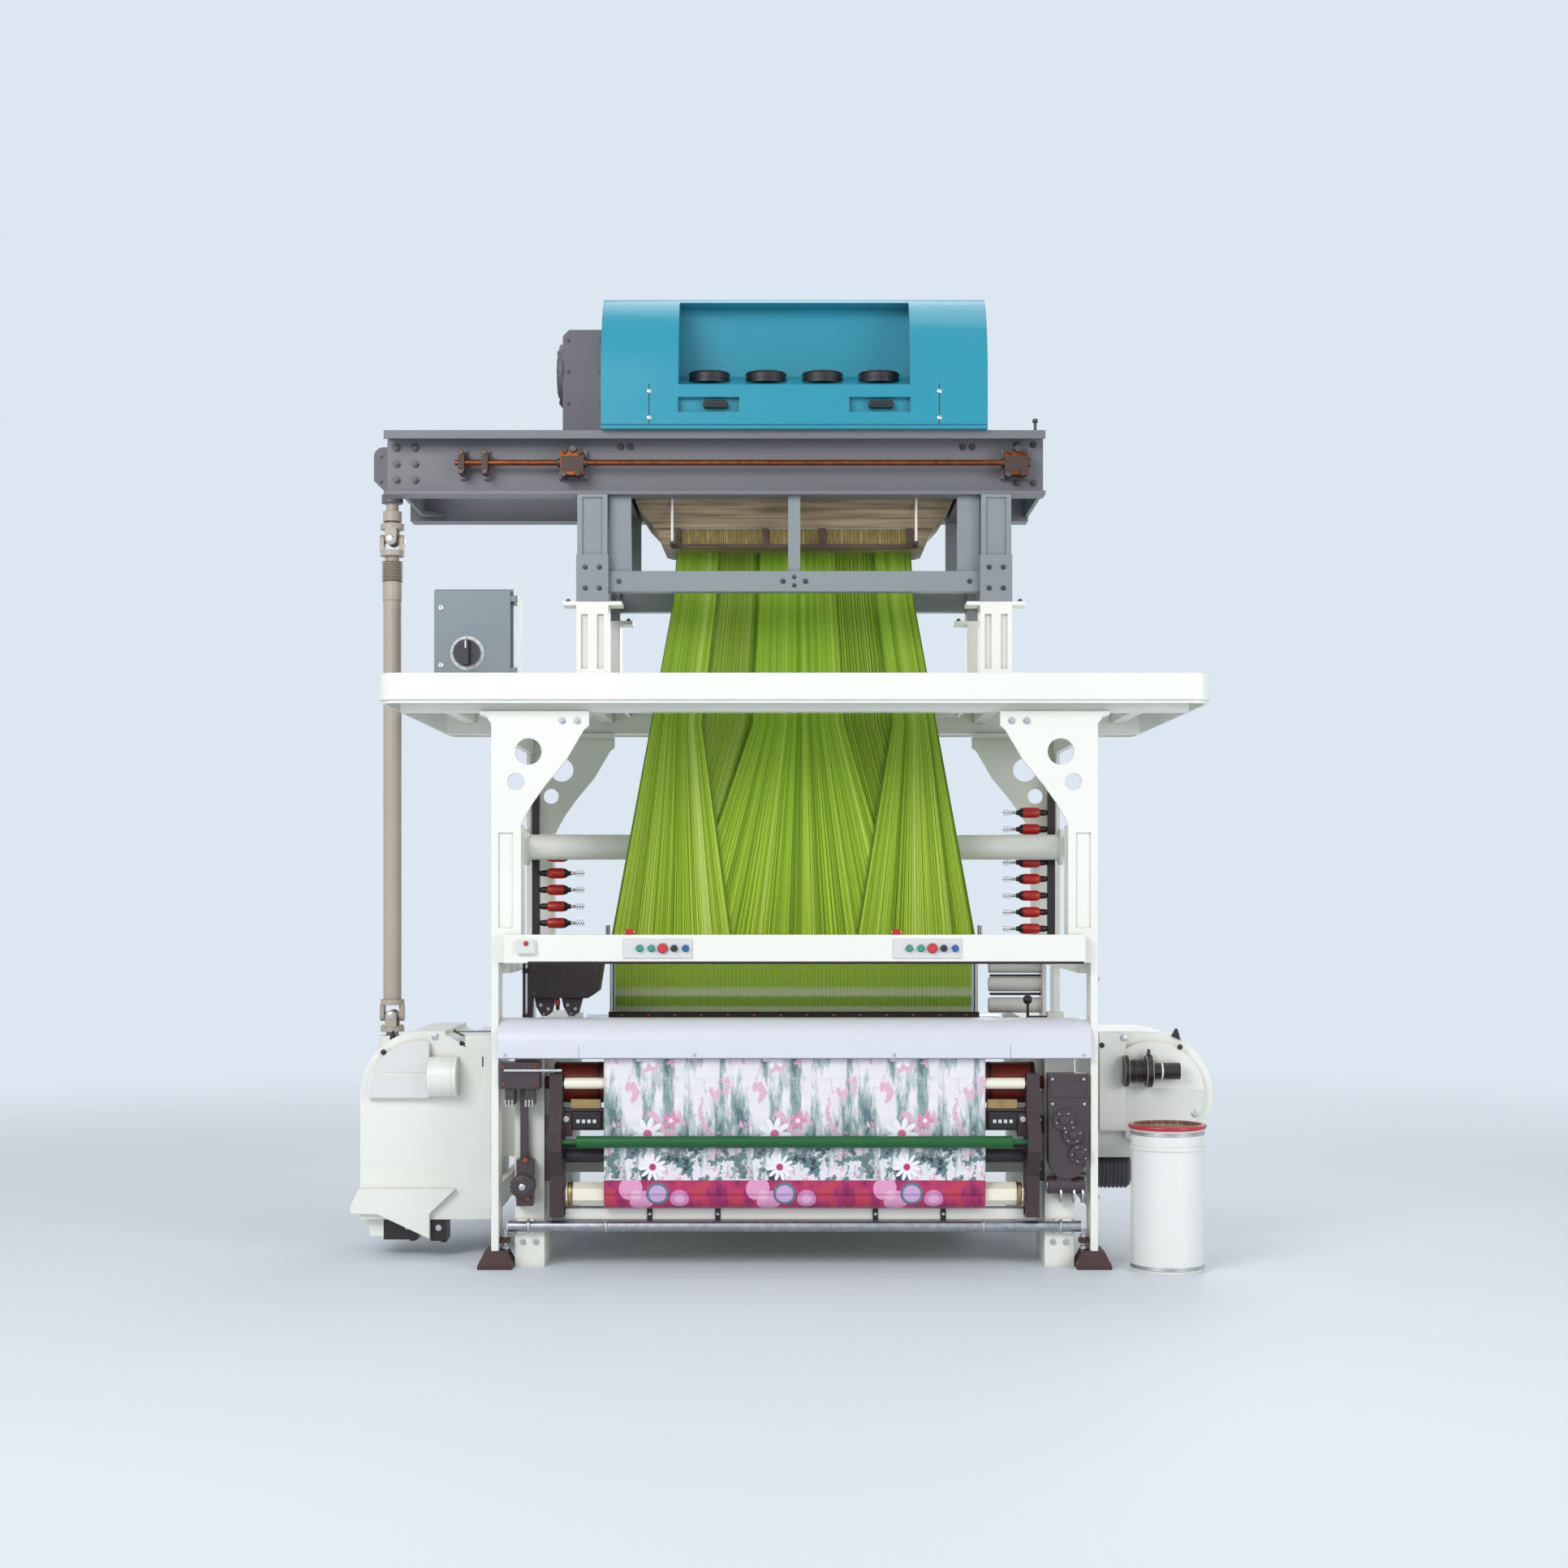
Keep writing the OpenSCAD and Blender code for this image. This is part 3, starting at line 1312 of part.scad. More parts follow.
// Take-up drives: toothed bracket on the left and gearbox with motor on the right
module take_up_drives() {
    face = frame_front - 66;
    color([0.31, 0.26, 0.28]) {
        // Gearbox with three front bosses and the motor below
        block(frame_in + 5, drive_out, face, frame_front, 330, 591);
        bar_y(56, face, frame_front, frame_in + 62, 330);
        for (b = [[40, 452, 32], [66, 408, 30], [86, 350, 30]]) {
            bar_y(b[2], face - 12, face + 1, frame_in + b[0] + 10, b[1]);
            bar_y(b[2] * 0.45, face - 20, face - 11, frame_in + b[0] + 10, b[1]);
        }
        bar_x(26, frame_in + 5, drive_out - 10, frame_front - 33, 252);
        block(frame_in + 30, frame_in + 75, face + 10, frame_front, 245, 340);
        // Toothed bracket
        block(-drive_out, -frame_in - 8, face, frame_front, 545, 626);
        for (x = [-drive_out + 12, -drive_out + 72])
            block(x, x + 28, face + 10, frame_front, 497, 545);
        bar_y(36, face + 6, frame_front, -frame_in - 60, 250);
        block(-frame_in - 80, -frame_in - 30, face + 20, frame_front, 190, 330);
        block(-frame_in - 70, -frame_in - 48, face + 36, frame_front, 320, 560);
    }
}

// Weft selector: dark case on a leg over the left side frame
module weft_selector() {
    x0 = selector_left;
    x1 = x0 + 230;
    y0 = finger_y - 70;
    y1 = finger_y + 50;
    low = selector_low;
    top = low + 110;
    slot = finger_half + fit;
    color([0.17, 0.13, 0.14]) {
        difference() {
            front_plate(y0, y1) polygon([[x0, low], [x1 - 46, low], [x1 - 14, low + 22],
                [x1, top], [x0, top]]);
            for (x = finger_x)
                block(x - slot, x + slot, finger_y - slot, finger_y + slot, low - 1, low + 62);
        }
        block(x0 - 20, x0 + 10, y0, y0 + 50, frame_h, top);
    }
}

// Weft finger: guided stem with a tapered feeder head below the case
module weft_finger(i) {
    x = finger_x[i];
    low = selector_low;
    color([0.35, 0.33, 0.35]) {
        block(x - finger_half, x + finger_half, finger_y - finger_half, finger_y + finger_half,
            low - 20, low + 30);
        front_plate(finger_y - 26, finger_y + 26)
            polygon([[x - 32, low - 3], [x + 32, low - 3], [x + 20, low - 48],
                [x + 6, low - 58], [x - 10, low - 58], [x - 26, low - 30]]);
    }
}

module weft_finger_1() { weft_finger(0); }
module weft_finger_2() { weft_finger(1); }

// Thread tensioners on one post: red caps, black collars and chrome discs
module tensioner_rack(count, lift) {
    post_in = col_x - 65;
    y0 = rack_y;
    pitch = 55.5;
    post_h = 520;
    block(post_in, post_in + 25, y0, y0 + 30, mid_rail_top + 14, mid_rail_top + post_h);
    block(post_in, col_x - 8, y0, y0 + 30, mid_rail_top, mid_rail_top + 14);
    for (i = [0:count - 1]) {
        z = mid_rail_top + lift + i * pitch;
        y = y0 + 15;
        bar_x(3, post_in - 150, post_in + 1, y, z);
        bar_x(11, post_in - 22, post_in - 12, y, z);
        bar_x(18, post_in - 80, post_in - 22, y, z);
        bar_x(15, post_in - 92, post_in - 80, y, z);
        bar_x(9, post_in - 104, post_in - 92, y, z);
        for (x = [124, 132, 142]) bar_x(11, post_in - x - 2, post_in - x, y, z);
    }
}

// Tensioner racks: one post on each side of the harness
module tensioner_racks() {
    color([0.72, 0.12, 0.06]) {
        mirror([1, 0, 0]) tensioner_rack(5, 75);
        tensioner_rack(8, 56);
    }
}

// Button bar across the columns with two control panels
module button_bar() {
    half = col_x - 42;
    panel_w = 208;
    color([0.97, 0.97, 0.94]) difference() {
        union() {
            block(-half, half, bar_front, front_y, bar_z, bar_z + bar_h);
            for (x = [left_button_x, right_button_x])
                block(x - 50, x - 50 + panel_w, bar_front - 3, bar_front,
                    bar_z + 14, bar_z + bar_h - 12);
            block(83 - col_x, 139 - col_x, bar_front - 14, bar_front, bar_z + 28, bar_z + 69);
            for (x = [left_button_x - 32, right_button_x - 39])
                block(x - 14, x + 14, bar_front + 8, bar_front + 24,
                    bar_z + bar_h, bar_z + bar_h + 12);
        }
        for (x = [left_button_x, right_button_x], i = [0:4])
            bar_y(button_stem_r + fit, bar_front - 4, bar_front + 24,
                x + i * button_pitch, button_z);
    }
}

// Push button: domed head on a stem that slides into the bar
module push_button(start_x, i, r, paint) {
    x = start_x + i * button_pitch;
    back = bar_front - 3 - button_travel - 0.5;
    color(paint) {
        bar_y(r, back - 6, back, x, button_z);
        bar_y(r - 2, back - 9, back - 6, x, button_z);
        bar_y(button_stem_r, back, bar_front + 16, x, button_z);
    }
}

module button_left_1() { push_button(left_button_x, 0, button_r, green_paint); }
module button_left_2() { push_button(left_button_x, 1, button_r, green_paint); }
module button_left_stop() { push_button(left_button_x, 2, stop_r, red_paint); }
module button_left_4() { push_button(left_button_x, 3, button_r, black_paint); }
module button_left_5() { push_button(left_button_x, 4, button_r, blue_paint); }
module button_right_1() { push_button(right_button_x, 0, button_r, green_paint); }
module button_right_2() { push_button(right_button_x, 1, button_r, green_paint); }
module button_right_stop() { push_button(right_button_x, 2, stop_r, red_paint); }
module button_right_4() { push_button(right_button_x, 3, button_r, black_paint); }
module button_right_5() { push_button(right_button_x, 4, button_r, blue_paint); }

// Fork of a universal joint, opening upwards, with its ears along X
module fork(pin_half) {
    ear = 14;
    difference() {
        union() {
            translate([0, 0, -52]) cylinder(h = 18, r = pin_half);
            for (s = [-1, 1]) {
                x0 = s > 0 ? pin_half - ear : -pin_half;
                block(x0, x0 + ear, -18, 18, -36, 0);
                bar_x(18, x0, x0 + ear, 0, 0);
            }
        }
        bar_x(cross_r, -pin_half - 1, pin_half + 1, 0, 0);
    }
}

// Cardan shaft: tube with a slip joint and a fork at each end
module cardan_shaft() {
    slip_z = cardan_high_z - 135;
    color([0.76, 0.71, 0.64]) translate([-cardan_x, cardan_y, 0]) {
        translate([0, 0, cardan_high_z]) fork(38);
        translate([0, 0, cardan_low_z]) mirror([0, 0, 1]) fork(38);
        bar_z(cardan_r, cardan_low_z + 52, slip_z, 0, 0);
        bar_z(cardan_r - 6, slip_z, cardan_high_z - 52, 0, 0);
        bar_z(cardan_r + 2, slip_z - 60, slip_z, 0, 0);
    }
}

// Cardan joints: the outer forks on their stubs, with the two crosses
module cardan_joints() {
    color([0.7, 0.66, 0.6]) translate([-cardan_x, cardan_y, 0]) {
        translate([0, 0, cardan_high_z]) rotate([0, 0, 90]) mirror([0, 0, 1]) fork(38);
        bar_z(stub_r, cardan_high_z + 52, gearbox_z + 36, 0, 0);
        bar_z(stub_r + 10, cardan_high_z + 60, cardan_high_z + 92, 0, 0);
        translate([0, 0, cardan_low_z]) rotate([0, 0, 90]) fork(38);
        bar_z(stub_r, bearing_top - bearing_depth + 10, cardan_low_z - 52, 0, 0);
        for (z = [cardan_high_z, cardan_low_z]) {
            bar_x(cross_r, -38, 38, 0, z);
            bar_y(cross_r, -38, 38, 0, z);
        }
    }
}

// Waste can: open white can with a rolled red rim and a metal band
module waste_can() {
    color([0.96, 0.95, 0.94]) translate([can_x, can_y, 0]) {
        difference() {
            cylinder(h = can_h, r = can_r);
            translate([0, 0, 8]) cylinder(h = can_h, r = can_r - can_t);
        }
        for (z = [can_h - 12, can_h - 74]) difference() {
            translate([0, 0, z]) cylinder(h = 12, r = can_r + 3.5);
            translate([0, 0, z - 1]) cylinder(h = 14, r = can_r - 1);
        }
    }
}

levelling_feet();
gantry_frame();
walkway_deck();
deck_posts();
head_frame();
top_frame();
beam_rod();
jacquard_housing();
drive_gearboxes();
harness_board();
control_cabinet();
cabinet_door();
main_switch();
loom_frame_left();
loom_frame_right();
cross_bars();
cloth_cradle();
breast_cover();
drive_housing();
rapier_cover();
rapier_wheel_left();
rapier_wheel_right();
rapier_left();
rapier_right();
sley();
reed();
harness();
comber_board();
heddles_front();
heddles_rear();
warp_beam();
backrest_roller();
warp_sheet();
cloth();
take_up_roller();
press_roller();
spreader_roller();
guide_roller();
cloth_roller();
take_up_drives();
weft_selector();
weft_finger_1();
weft_finger_2();
tensioner_racks();
button_bar();
button_left_1();
button_left_2();
button_left_stop();
button_left_4();
button_left_5();
button_right_1();
button_right_2();
button_right_stop();
button_right_4();
button_right_5();
hand_lever();
cardan_shaft();
cardan_joints();
head_drive_shaft();
waste_can();
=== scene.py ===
# Camera, floor and lights for a narrow-fabric loom seen from its front. The camera stands level
# at breast height, seven metres before the gantry.
import bmesh
import bpy
import math
import random
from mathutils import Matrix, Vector


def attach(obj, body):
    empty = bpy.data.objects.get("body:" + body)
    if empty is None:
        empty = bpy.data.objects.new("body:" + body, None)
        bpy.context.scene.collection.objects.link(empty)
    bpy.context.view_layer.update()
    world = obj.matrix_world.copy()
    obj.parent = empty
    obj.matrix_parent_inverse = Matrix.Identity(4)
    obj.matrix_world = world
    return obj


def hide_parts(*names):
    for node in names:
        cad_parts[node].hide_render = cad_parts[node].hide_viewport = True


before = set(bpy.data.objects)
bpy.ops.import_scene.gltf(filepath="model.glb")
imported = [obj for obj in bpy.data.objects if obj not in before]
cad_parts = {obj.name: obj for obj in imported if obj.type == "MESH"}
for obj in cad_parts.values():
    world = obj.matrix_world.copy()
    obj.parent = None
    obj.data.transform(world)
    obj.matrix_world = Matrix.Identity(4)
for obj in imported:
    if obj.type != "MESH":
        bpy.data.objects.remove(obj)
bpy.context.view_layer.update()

scene = bpy.context.scene
scene.view_settings.view_transform = "Standard"
camera = bpy.data.cameras.new("studio_camera")
camera.lens = 53.3
camera.shift_y = 0.07
camera_object = bpy.data.objects.new("studio_camera", camera)
camera_object.location = (-0.032, -7.535, 1.133)
camera_object.rotation_euler = (math.radians(90), 0, 0)
bpy.context.collection.objects.link(camera_object)
scene.camera = camera_object


def soft_lamp(name, place, target, size, watts):
    lamp = bpy.data.lights.new(name, "AREA")
    lamp.shape = "RECTANGLE"
    lamp.size, lamp.size_y = size
    lamp.energy = watts
    lamp_object = bpy.data.objects.new(name, lamp)
    lamp_object.location = place
    aim = Vector(target) - Vector(place)
    lamp_object.rotation_euler = aim.to_track_quat("-Z", "Y").to_euler()
    bpy.context.collection.objects.link(lamp_object)


soft_lamp("key_lamp", (-3.6, -6.0, 4.6), (0, 0, 1.4), (3.6, 3.0), 265)
soft_lamp("fill_lamp", (4.6, -5.2, 2.4), (0, 0, 1.2), (3.0, 3.0), 125)
soft_lamp("top_lamp", (0.5, 0.6, 6.2), (0, 0, 1.5), (4.5, 3.5), 80)
soft_lamp("rear_lamp", (1.5, 6.0, 3.6), (0, 0, 1.4), (3.6, 3.0), 90)


def knit(tree, source, target):
    """Joins (node, socket) to (node, socket)."""
    tree.links.new(source[0].outputs[source[1]], target[0].inputs[target[1]])


def new_node(tree, kind, values=(), **settings):
    """A node of one kind with its settings and its inputs' values."""
    node = tree.nodes.new(kind)
    for name, setting in settings.items():
        setattr(node, name, setting)
    for socket, value in dict(values).items():
        node.inputs[socket].default_value = value
    return node


backdrop = (0.72, 0.80, 0.88, 1)
world = bpy.data.worlds.new("studio_world")
world.use_nodes = True
scene.world = world
world_tree = world.node_tree
world_tree.nodes.clear()
room_light = new_node(world_tree, "ShaderNodeBackground",
                      {"Color": (0.86, 0.90, 0.94, 1), "Strength": 0.42})
seen_light = new_node(world_tree, "ShaderNodeBackground", {"Color": backdrop, "Strength": 1.0})
seen_by = new_node(world_tree, "ShaderNodeLightPath")
either_ray = new_node(world_tree, "ShaderNodeMath", operation="MAXIMUM")
world_mix = new_node(world_tree, "ShaderNodeMixShader")
world_out = new_node(world_tree, "ShaderNodeOutputWorld")
knit(world_tree, (seen_by, "Is Camera Ray"), (either_ray, 0))
knit(world_tree, (seen_by, "Is Glossy Ray"), (either_ray, 1))
knit(world_tree, (either_ray, 0), (world_mix, 0))
knit(world_tree, (room_light, 0), (world_mix, 1))
knit(world_tree, (seen_light, 0), (world_mix, 2))
knit(world_tree, (world_mix, 0), (world_out, 0))


def new_finish(name, roughness, metallic=0.0):
    """A material with its shader, its node tree and the Object coordinates."""
    finish = bpy.data.materials.new(name)
    finish.use_nodes = True
    tree = finish.node_tree
    shader = tree.nodes["Principled BSDF"]
    shader.inputs["Roughness"].default_value = roughness
    shader.inputs["Metallic"].default_value = metallic
    place = new_node(tree, "ShaderNodeTexCoord")
    return finish, tree, shader, place


def mottle(tree, place, scale, detail=3.0):
    """Noise over the object at so many spots a metre."""
    noise = new_node(tree, "ShaderNodeTexNoise", {"Scale": scale, "Detail": detail})
    knit(tree, (place, "Object"), (noise, "Vector"))
    return noise


def shades(tree, source, stops):
    """Colour ramp through (position, colour) stops."""
    ramp = new_node(tree, "ShaderNodeValToRGB")
    for i, (position, colour) in enumerate(stops):
        stop = ramp.color_ramp.elements[i] if i < 2 else ramp.color_ramp.elements.new(position)
        stop.position = position
        stop.color = (*colour, 1)
    knit(tree, source, (ramp, "Fac"))
    return ramp


def relief(tree, shader, source, strength, depth, round_edge=0.0):
    """Bump from a source, over edges rounded by round_edge."""
    bump = new_node(tree, "ShaderNodeBump", {"Strength": strength, "Distance": depth})
    knit(tree, source, (bump, "Height"))
    if round_edge:
        bevel = new_node(tree, "ShaderNodeBevel", {"Radius": round_edge}, samples=4)
        knit(tree, (bevel, "Normal"), (bump, "Normal"))
    knit(tree, (bump, "Normal"), (shader, "Normal"))


def linear(r, g, b):
    """Display colour 0 to 255 as scene colour."""
    return tuple(((c / 255 + 0.055) / 1.055) ** 2.4 if c > 10 else c / 255 / 12.92
                 for c in (r, g, b))


def painted(name, colour, roughness=0.38, peel=0.12, grime_and_shade=(0.42, 0.36, 0.28), reach=0.03,
            coat=0.0, speckle=0.04, round_edge=0.0025):
    """Sprayed paint with orange peel and cloudy dust. An occlusion mask darkens its corners towards
    a grime colour, as grime and painted corner shade at once.
    """
    finish, tree, shader, place = new_finish(name, roughness)
    clouds = mottle(tree, place, 2.3, 5)
    tone = shades(tree, (clouds, "Fac"), [
        (0.3, tuple(c * (1 - speckle) for c in colour)), (0.7, colour)])
    # Ambient occlusion picks out corners and joints. Mixed towards the grime colour, it paints
    # shade there as well as grime.
    corner = new_node(tree, "ShaderNodeAmbientOcclusion", {"Distance": reach}, samples=4)
    grime_and_corner_shade = shades(tree, (corner, "AO"), [(0.25, (1, 1, 1)), (0.75, (0, 0, 0))])
    spots = mottle(tree, place, 19, 6)
    patchy_grime_and_shade = new_node(tree, "ShaderNodeMath", operation="MULTIPLY")
    knit(tree, (grime_and_corner_shade, "Color"), (patchy_grime_and_shade, 0))
    knit(tree, (spots, "Fac"), (patchy_grime_and_shade, 1))
    blend = new_node(tree, "ShaderNodeMix", {7: (*[c * g for c, g in zip(colour, grime_and_shade)], 1)},
                     data_type="RGBA")
    knit(tree, (patchy_grime_and_shade, 0), (blend, 0))
    knit(tree, (tone, "Color"), (blend, 6))
    knit(tree, (blend, 2), (shader, "Base Color"))
    gloss = new_node(tree, "ShaderNodeMapRange",
                     {"To Min": roughness - 0.06, "To Max": roughness + 0.10})
    knit(tree, (spots, "Fac"), (gloss, "Value"))
    knit(tree, (gloss, "Result"), (shader, "Roughness"))
    if coat:
        shader.inputs["Coat Weight"].default_value = coat
        shader.inputs["Coat Roughness"].default_value = 0.12
    relief(tree, shader, (mottle(tree, place, 420, 2), "Fac"), peel, 0.0006, round_edge)
    return finish


floor_finish, floor_tree, floor_shader, floor_place = new_finish("pale_floor", 0.62)
floor_shader.inputs["Base Color"].default_value = (*linear(226, 233, 240), 1)
floor_shade = mottle(floor_tree, floor_place, 1.1, 4)
relief(floor_tree, floor_shader, (floor_shade, "Fac"), 0.05, 0.004)
far_glow = new_node(floor_tree, "ShaderNodeEmission", {"Color": backdrop})
far_off = new_node(floor_tree, "ShaderNodeVectorMath", operation="LENGTH")
knit(floor_tree, (floor_place, "Object"), (far_off, 0))
far_share = new_node(floor_tree, "ShaderNodeMapRange", {"From Min": 2.0, "From Max": 8.0},
                     interpolation_type="SMOOTHSTEP")
knit(floor_tree, (far_off, "Value"), (far_share, "Value"))
far_mix = new_node(floor_tree, "ShaderNodeMixShader")
knit(floor_tree, (far_share, "Result"), (far_mix, 0))
knit(floor_tree, (floor_shader, "BSDF"), (far_mix, 1))
knit(floor_tree, (far_glow, "Emission"), (far_mix, 2))
floor_out = next(n for n in floor_tree.nodes if n.bl_idname == "ShaderNodeOutputMaterial")
knit(floor_tree, (far_mix, "Shader"), (floor_out, "Surface"))
floor_mesh = bpy.data.meshes.new("studio_floor")
floor_mesh.from_pydata([(-16, -14, 0), (16, -14, 0), (16, 16, 0), (-16, 16, 0)], [], [(0, 1, 2, 3)])
floor_mesh.materials.append(floor_finish)
floor_object = bpy.data.objects.new("studio_floor", floor_mesh)
bpy.context.collection.objects.link(floor_object)

# Levelling feet: four brown cast shoes under the gantry's columns, each with a jack screw
# through a nut beside the column. The anchor holes stay open.


def arc(first, last, steps):
    """Cosine and sine at equal steps from one angle to another, both ends among them."""
    angles = [first + (last - first) * k / steps for k in range(steps + 1)]
    return [(math.cos(a), math.sin(a)) for a in angles]


def around(count, first=0.0):
    """Cosine and sine at equal steps round a circle."""
    return arc(first, first + 2 * math.pi, count)[:-1]


class Workpiece:
    """Collects the faces of one piece, each with its finish."""

    def __init__(self):
        self.points, self.faces, self.marks = [], [], []

    def add(self, points, faces, mark=0):
        start = len(self.points)
        self.points += [tuple(p) for p in points]
        self.faces += [tuple(start + i for i in face) for face in faces]
        self.marks += [mark] * len(faces)

    def block(self, low, high, mark=0):
        corners = [(x, y, z) for x in (low[0], high[0]) for y in (low[1], high[1])
                   for z in (low[2], high[2])]
        self.add(corners, [(0, 1, 3, 2), (4, 6, 7, 5), (0, 4, 5, 1), (2, 3, 7, 6),
                           (0, 2, 6, 4), (1, 5, 7, 3)], mark)

    def turned(self, start, end, profile, mark=0, sides=28):
        """Lathe work along start to end; profile is (share of the length, radius)."""
        start, end = Vector(start), Vector(end)
        along = end - start
        side = along.orthogonal().normalized()
        other = along.cross(side).normalized()
        points, faces = [], []
        for share, radius in profile:
            points += [start + along * share + side * (radius * u) + other * (radius * v)
                       for u, v in around(sides)]
        for ring in range(len(profile) - 1):
            for k in range(sides):
                n = (k + 1) % sides
                a, b = ring * sides, (ring + 1) * sides
                faces.append((a + k, a + n, b + n, b + k))
        faces.append(tuple(reversed(range(sides))))
        faces.append(tuple(range((len(profile) - 1) * sides, len(profile) * sides)))
        self.add(points, faces, mark)

    def rod(self, start, end, radius, mark=0, sides=24):
        length = (Vector(end) - Vector(start)).length
        chamfer = min(radius * 0.15, length * 0.3) / length
        self.turned(start, end, [(0, radius * 0.86), (chamfer, radius), (1 - chamfer, radius),
                                 (1, radius * 0.86)], mark, sides)

    def stud(self, x, z, back, front, rim, top, share=0.6, mark=0, sides=16):
        """A round boss or screw head that stands out along Y, straight and then tapered."""
        self.turned((x, back, z), (x, front, z), [(0, rim), (share, rim), (1, top)], mark, sides)

    def plate(self, outline, front, back, mark=0):
        """A plate of (x, z) outline, drawn out along Y."""
        n = len(outline)
        points = [(x, y, z) for y in (front, back) for x, z in outline]
        faces = [tuple(range(n)), tuple(reversed(range(n, 2 * n)))]
        faces += [(i, n + i, n + (i + 1) % n, (i + 1) % n) for i in range(n)]
        self.add(points, faces, mark)

    def finish(self, name, body, slot, finishes, bevel=0.0, smooth=32):
        mesh = bpy.data.meshes.new(name)
        mesh.from_pydata(self.points, [], self.faces)
        for finish in finishes:
            mesh.materials.append(finish)
        mesh.polygons.foreach_set("material_index", self.marks)
        outward(mesh)
        return fit_piece(mesh, name, body, bevel, smooth)


def outward(mesh):
    """Turns each closed shell's faces outward."""
    work = bmesh.new()
    work.from_mesh(mesh)
    bmesh.ops.recalc_face_normals(work, faces=work.faces)
    work.to_mesh(mesh)
    work.free()


def fit_piece(mesh, name, body, bevel=0.0, smooth=32):
    """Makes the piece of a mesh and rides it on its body."""
    mesh.polygons.foreach_set("use_smooth", [True] * len(mesh.polygons))
    mesh.set_sharp_from_angle(angle=math.radians(smooth))
    piece = bpy.data.objects.new(name, mesh)
    bpy.context.collection.objects.link(piece)
    if bevel:
        rounding = piece.modifiers.new("rounded_edges", "BEVEL")
        rounding.width = bevel
        rounding.segments = 2
        rounding.limit_method = "ANGLE"
        rounding.angle_limit = math.radians(40)
    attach(piece, body)
    return piece


def dress(finish, *nodes):
    """Gives CAD nodes their finish."""
    for node in nodes:
        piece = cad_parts[node]
        if not piece.material_slots:
            piece.data.materials.append(finish)
        for material_slot in piece.material_slots:
            material_slot.material = finish


def tree_with(name, sockets):
    """An empty geometry tree with a geometry in and out and the named inputs."""
    tree = bpy.data.node_groups.new(name, "GeometryNodeTree")
    tree.interface.new_socket("Geometry", in_out="INPUT", socket_type="NodeSocketGeometry")
    ids = {}
    for socket, kind in sockets:
        made = tree.interface.new_socket(socket, in_out="INPUT", socket_type=kind)
        ids[socket] = made.identifier
    tree.interface.new_socket("Geometry", in_out="OUTPUT", socket_type="NodeSocketGeometry")
    return tree, ids, tree.nodes.new("NodeGroupInput"), tree.nodes.new("NodeGroupOutput")


def grown(mesh, tree, ids, values, name, body, smooth=40):
    """Runs a geometry tree on a mesh and keeps its result as a plain piece."""
    seed = bpy.data.objects.new(name + "_seed", mesh)
    bpy.context.collection.objects.link(seed)
    growth = seed.modifiers.new(tree.name, "NODES")
    growth.node_group = tree
    for socket, value in values.items():
        growth[ids[socket]] = value
    result = bpy.data.meshes.new_from_object(
        seed.evaluated_get(bpy.context.evaluated_depsgraph_get()))
    seed.modifiers.clear()
    bpy.data.objects.remove(seed)
    result.name = name
    return fit_piece(result, name, body, 0.0, smooth)


# A bolt: washer, hexagon head and the end of its shank, set on each point along its normal
bolt_tree, bolt_ids, bolt_in, bolt_out = tree_with("hexagon_bolts", [
    ("Head Radius", "NodeSocketFloat"), ("Head Height", "NodeSocketFloat"),
    ("Finish", "NodeSocketMaterial")])


def bolt_part(vertices, radius_share, height_share, lift_share):
    """One round or six-sided step of the bolt."""
    step = new_node(bolt_tree, "GeometryNodeMeshCylinder", {"Vertices": vertices})
    for socket, share, source in (("Radius", radius_share, "Head Radius"),
                                  ("Depth", height_share, "Head Height")):
        scale = new_node(bolt_tree, "ShaderNodeMath", {1: share}, operation="MULTIPLY")
        knit(bolt_tree, (bolt_in, source), (scale, 0))
        knit(bolt_tree, (scale, 0), (step, socket))
    lift = new_node(bolt_tree, "ShaderNodeMath", {1: lift_share}, operation="MULTIPLY")
    place = new_node(bolt_tree, "ShaderNodeCombineXYZ")
    move = new_node(bolt_tree, "GeometryNodeTransform")
    knit(bolt_tree, (bolt_in, "Head Height"), (lift, 0))
    knit(bolt_tree, (lift, 0), (place, "Z"))
    knit(bolt_tree, (place, 0), (move, "Translation"))
    knit(bolt_tree, (step, "Mesh"), (move, "Geometry"))
    return move


bolt_join = new_node(bolt_tree, "GeometryNodeJoinGeometry")
for bolt_step in (bolt_part(16, 1.35, 0.22, 0.10), bolt_part(6, 1.0, 0.8, 0.60),
                  bolt_part(12, 0.52, 0.5, 1.20)):
    knit(bolt_tree, (bolt_step, 0), (bolt_join, 0))
bolt_facing = new_node(bolt_tree, "GeometryNodeInputNamedAttribute", {"Name": "facing"},
                       data_type="FLOAT_VECTOR")
bolt_turn = new_node(bolt_tree, "FunctionNodeAlignRotationToVector", axis="Z")
bolt_places = new_node(bolt_tree, "GeometryNodeInstanceOnPoints")
bolt_real = new_node(bolt_tree, "GeometryNodeRealizeInstances")
bolt_paint = new_node(bolt_tree, "GeometryNodeSetMaterial")
knit(bolt_tree, (bolt_facing, "Attribute"), (bolt_turn, "Vector"))
knit(bolt_tree, (bolt_in, "Geometry"), (bolt_places, "Points"))
knit(bolt_tree, (bolt_join, 0), (bolt_places, "Instance"))
knit(bolt_tree, (bolt_turn, 0), (bolt_places, "Rotation"))
knit(bolt_tree, (bolt_places, 0), (bolt_real, 0))
knit(bolt_tree, (bolt_real, 0), (bolt_paint, "Geometry"))
knit(bolt_tree, (bolt_in, "Finish"), (bolt_paint, "Material"))
knit(bolt_tree, (bolt_paint, 0), (bolt_out, 0))


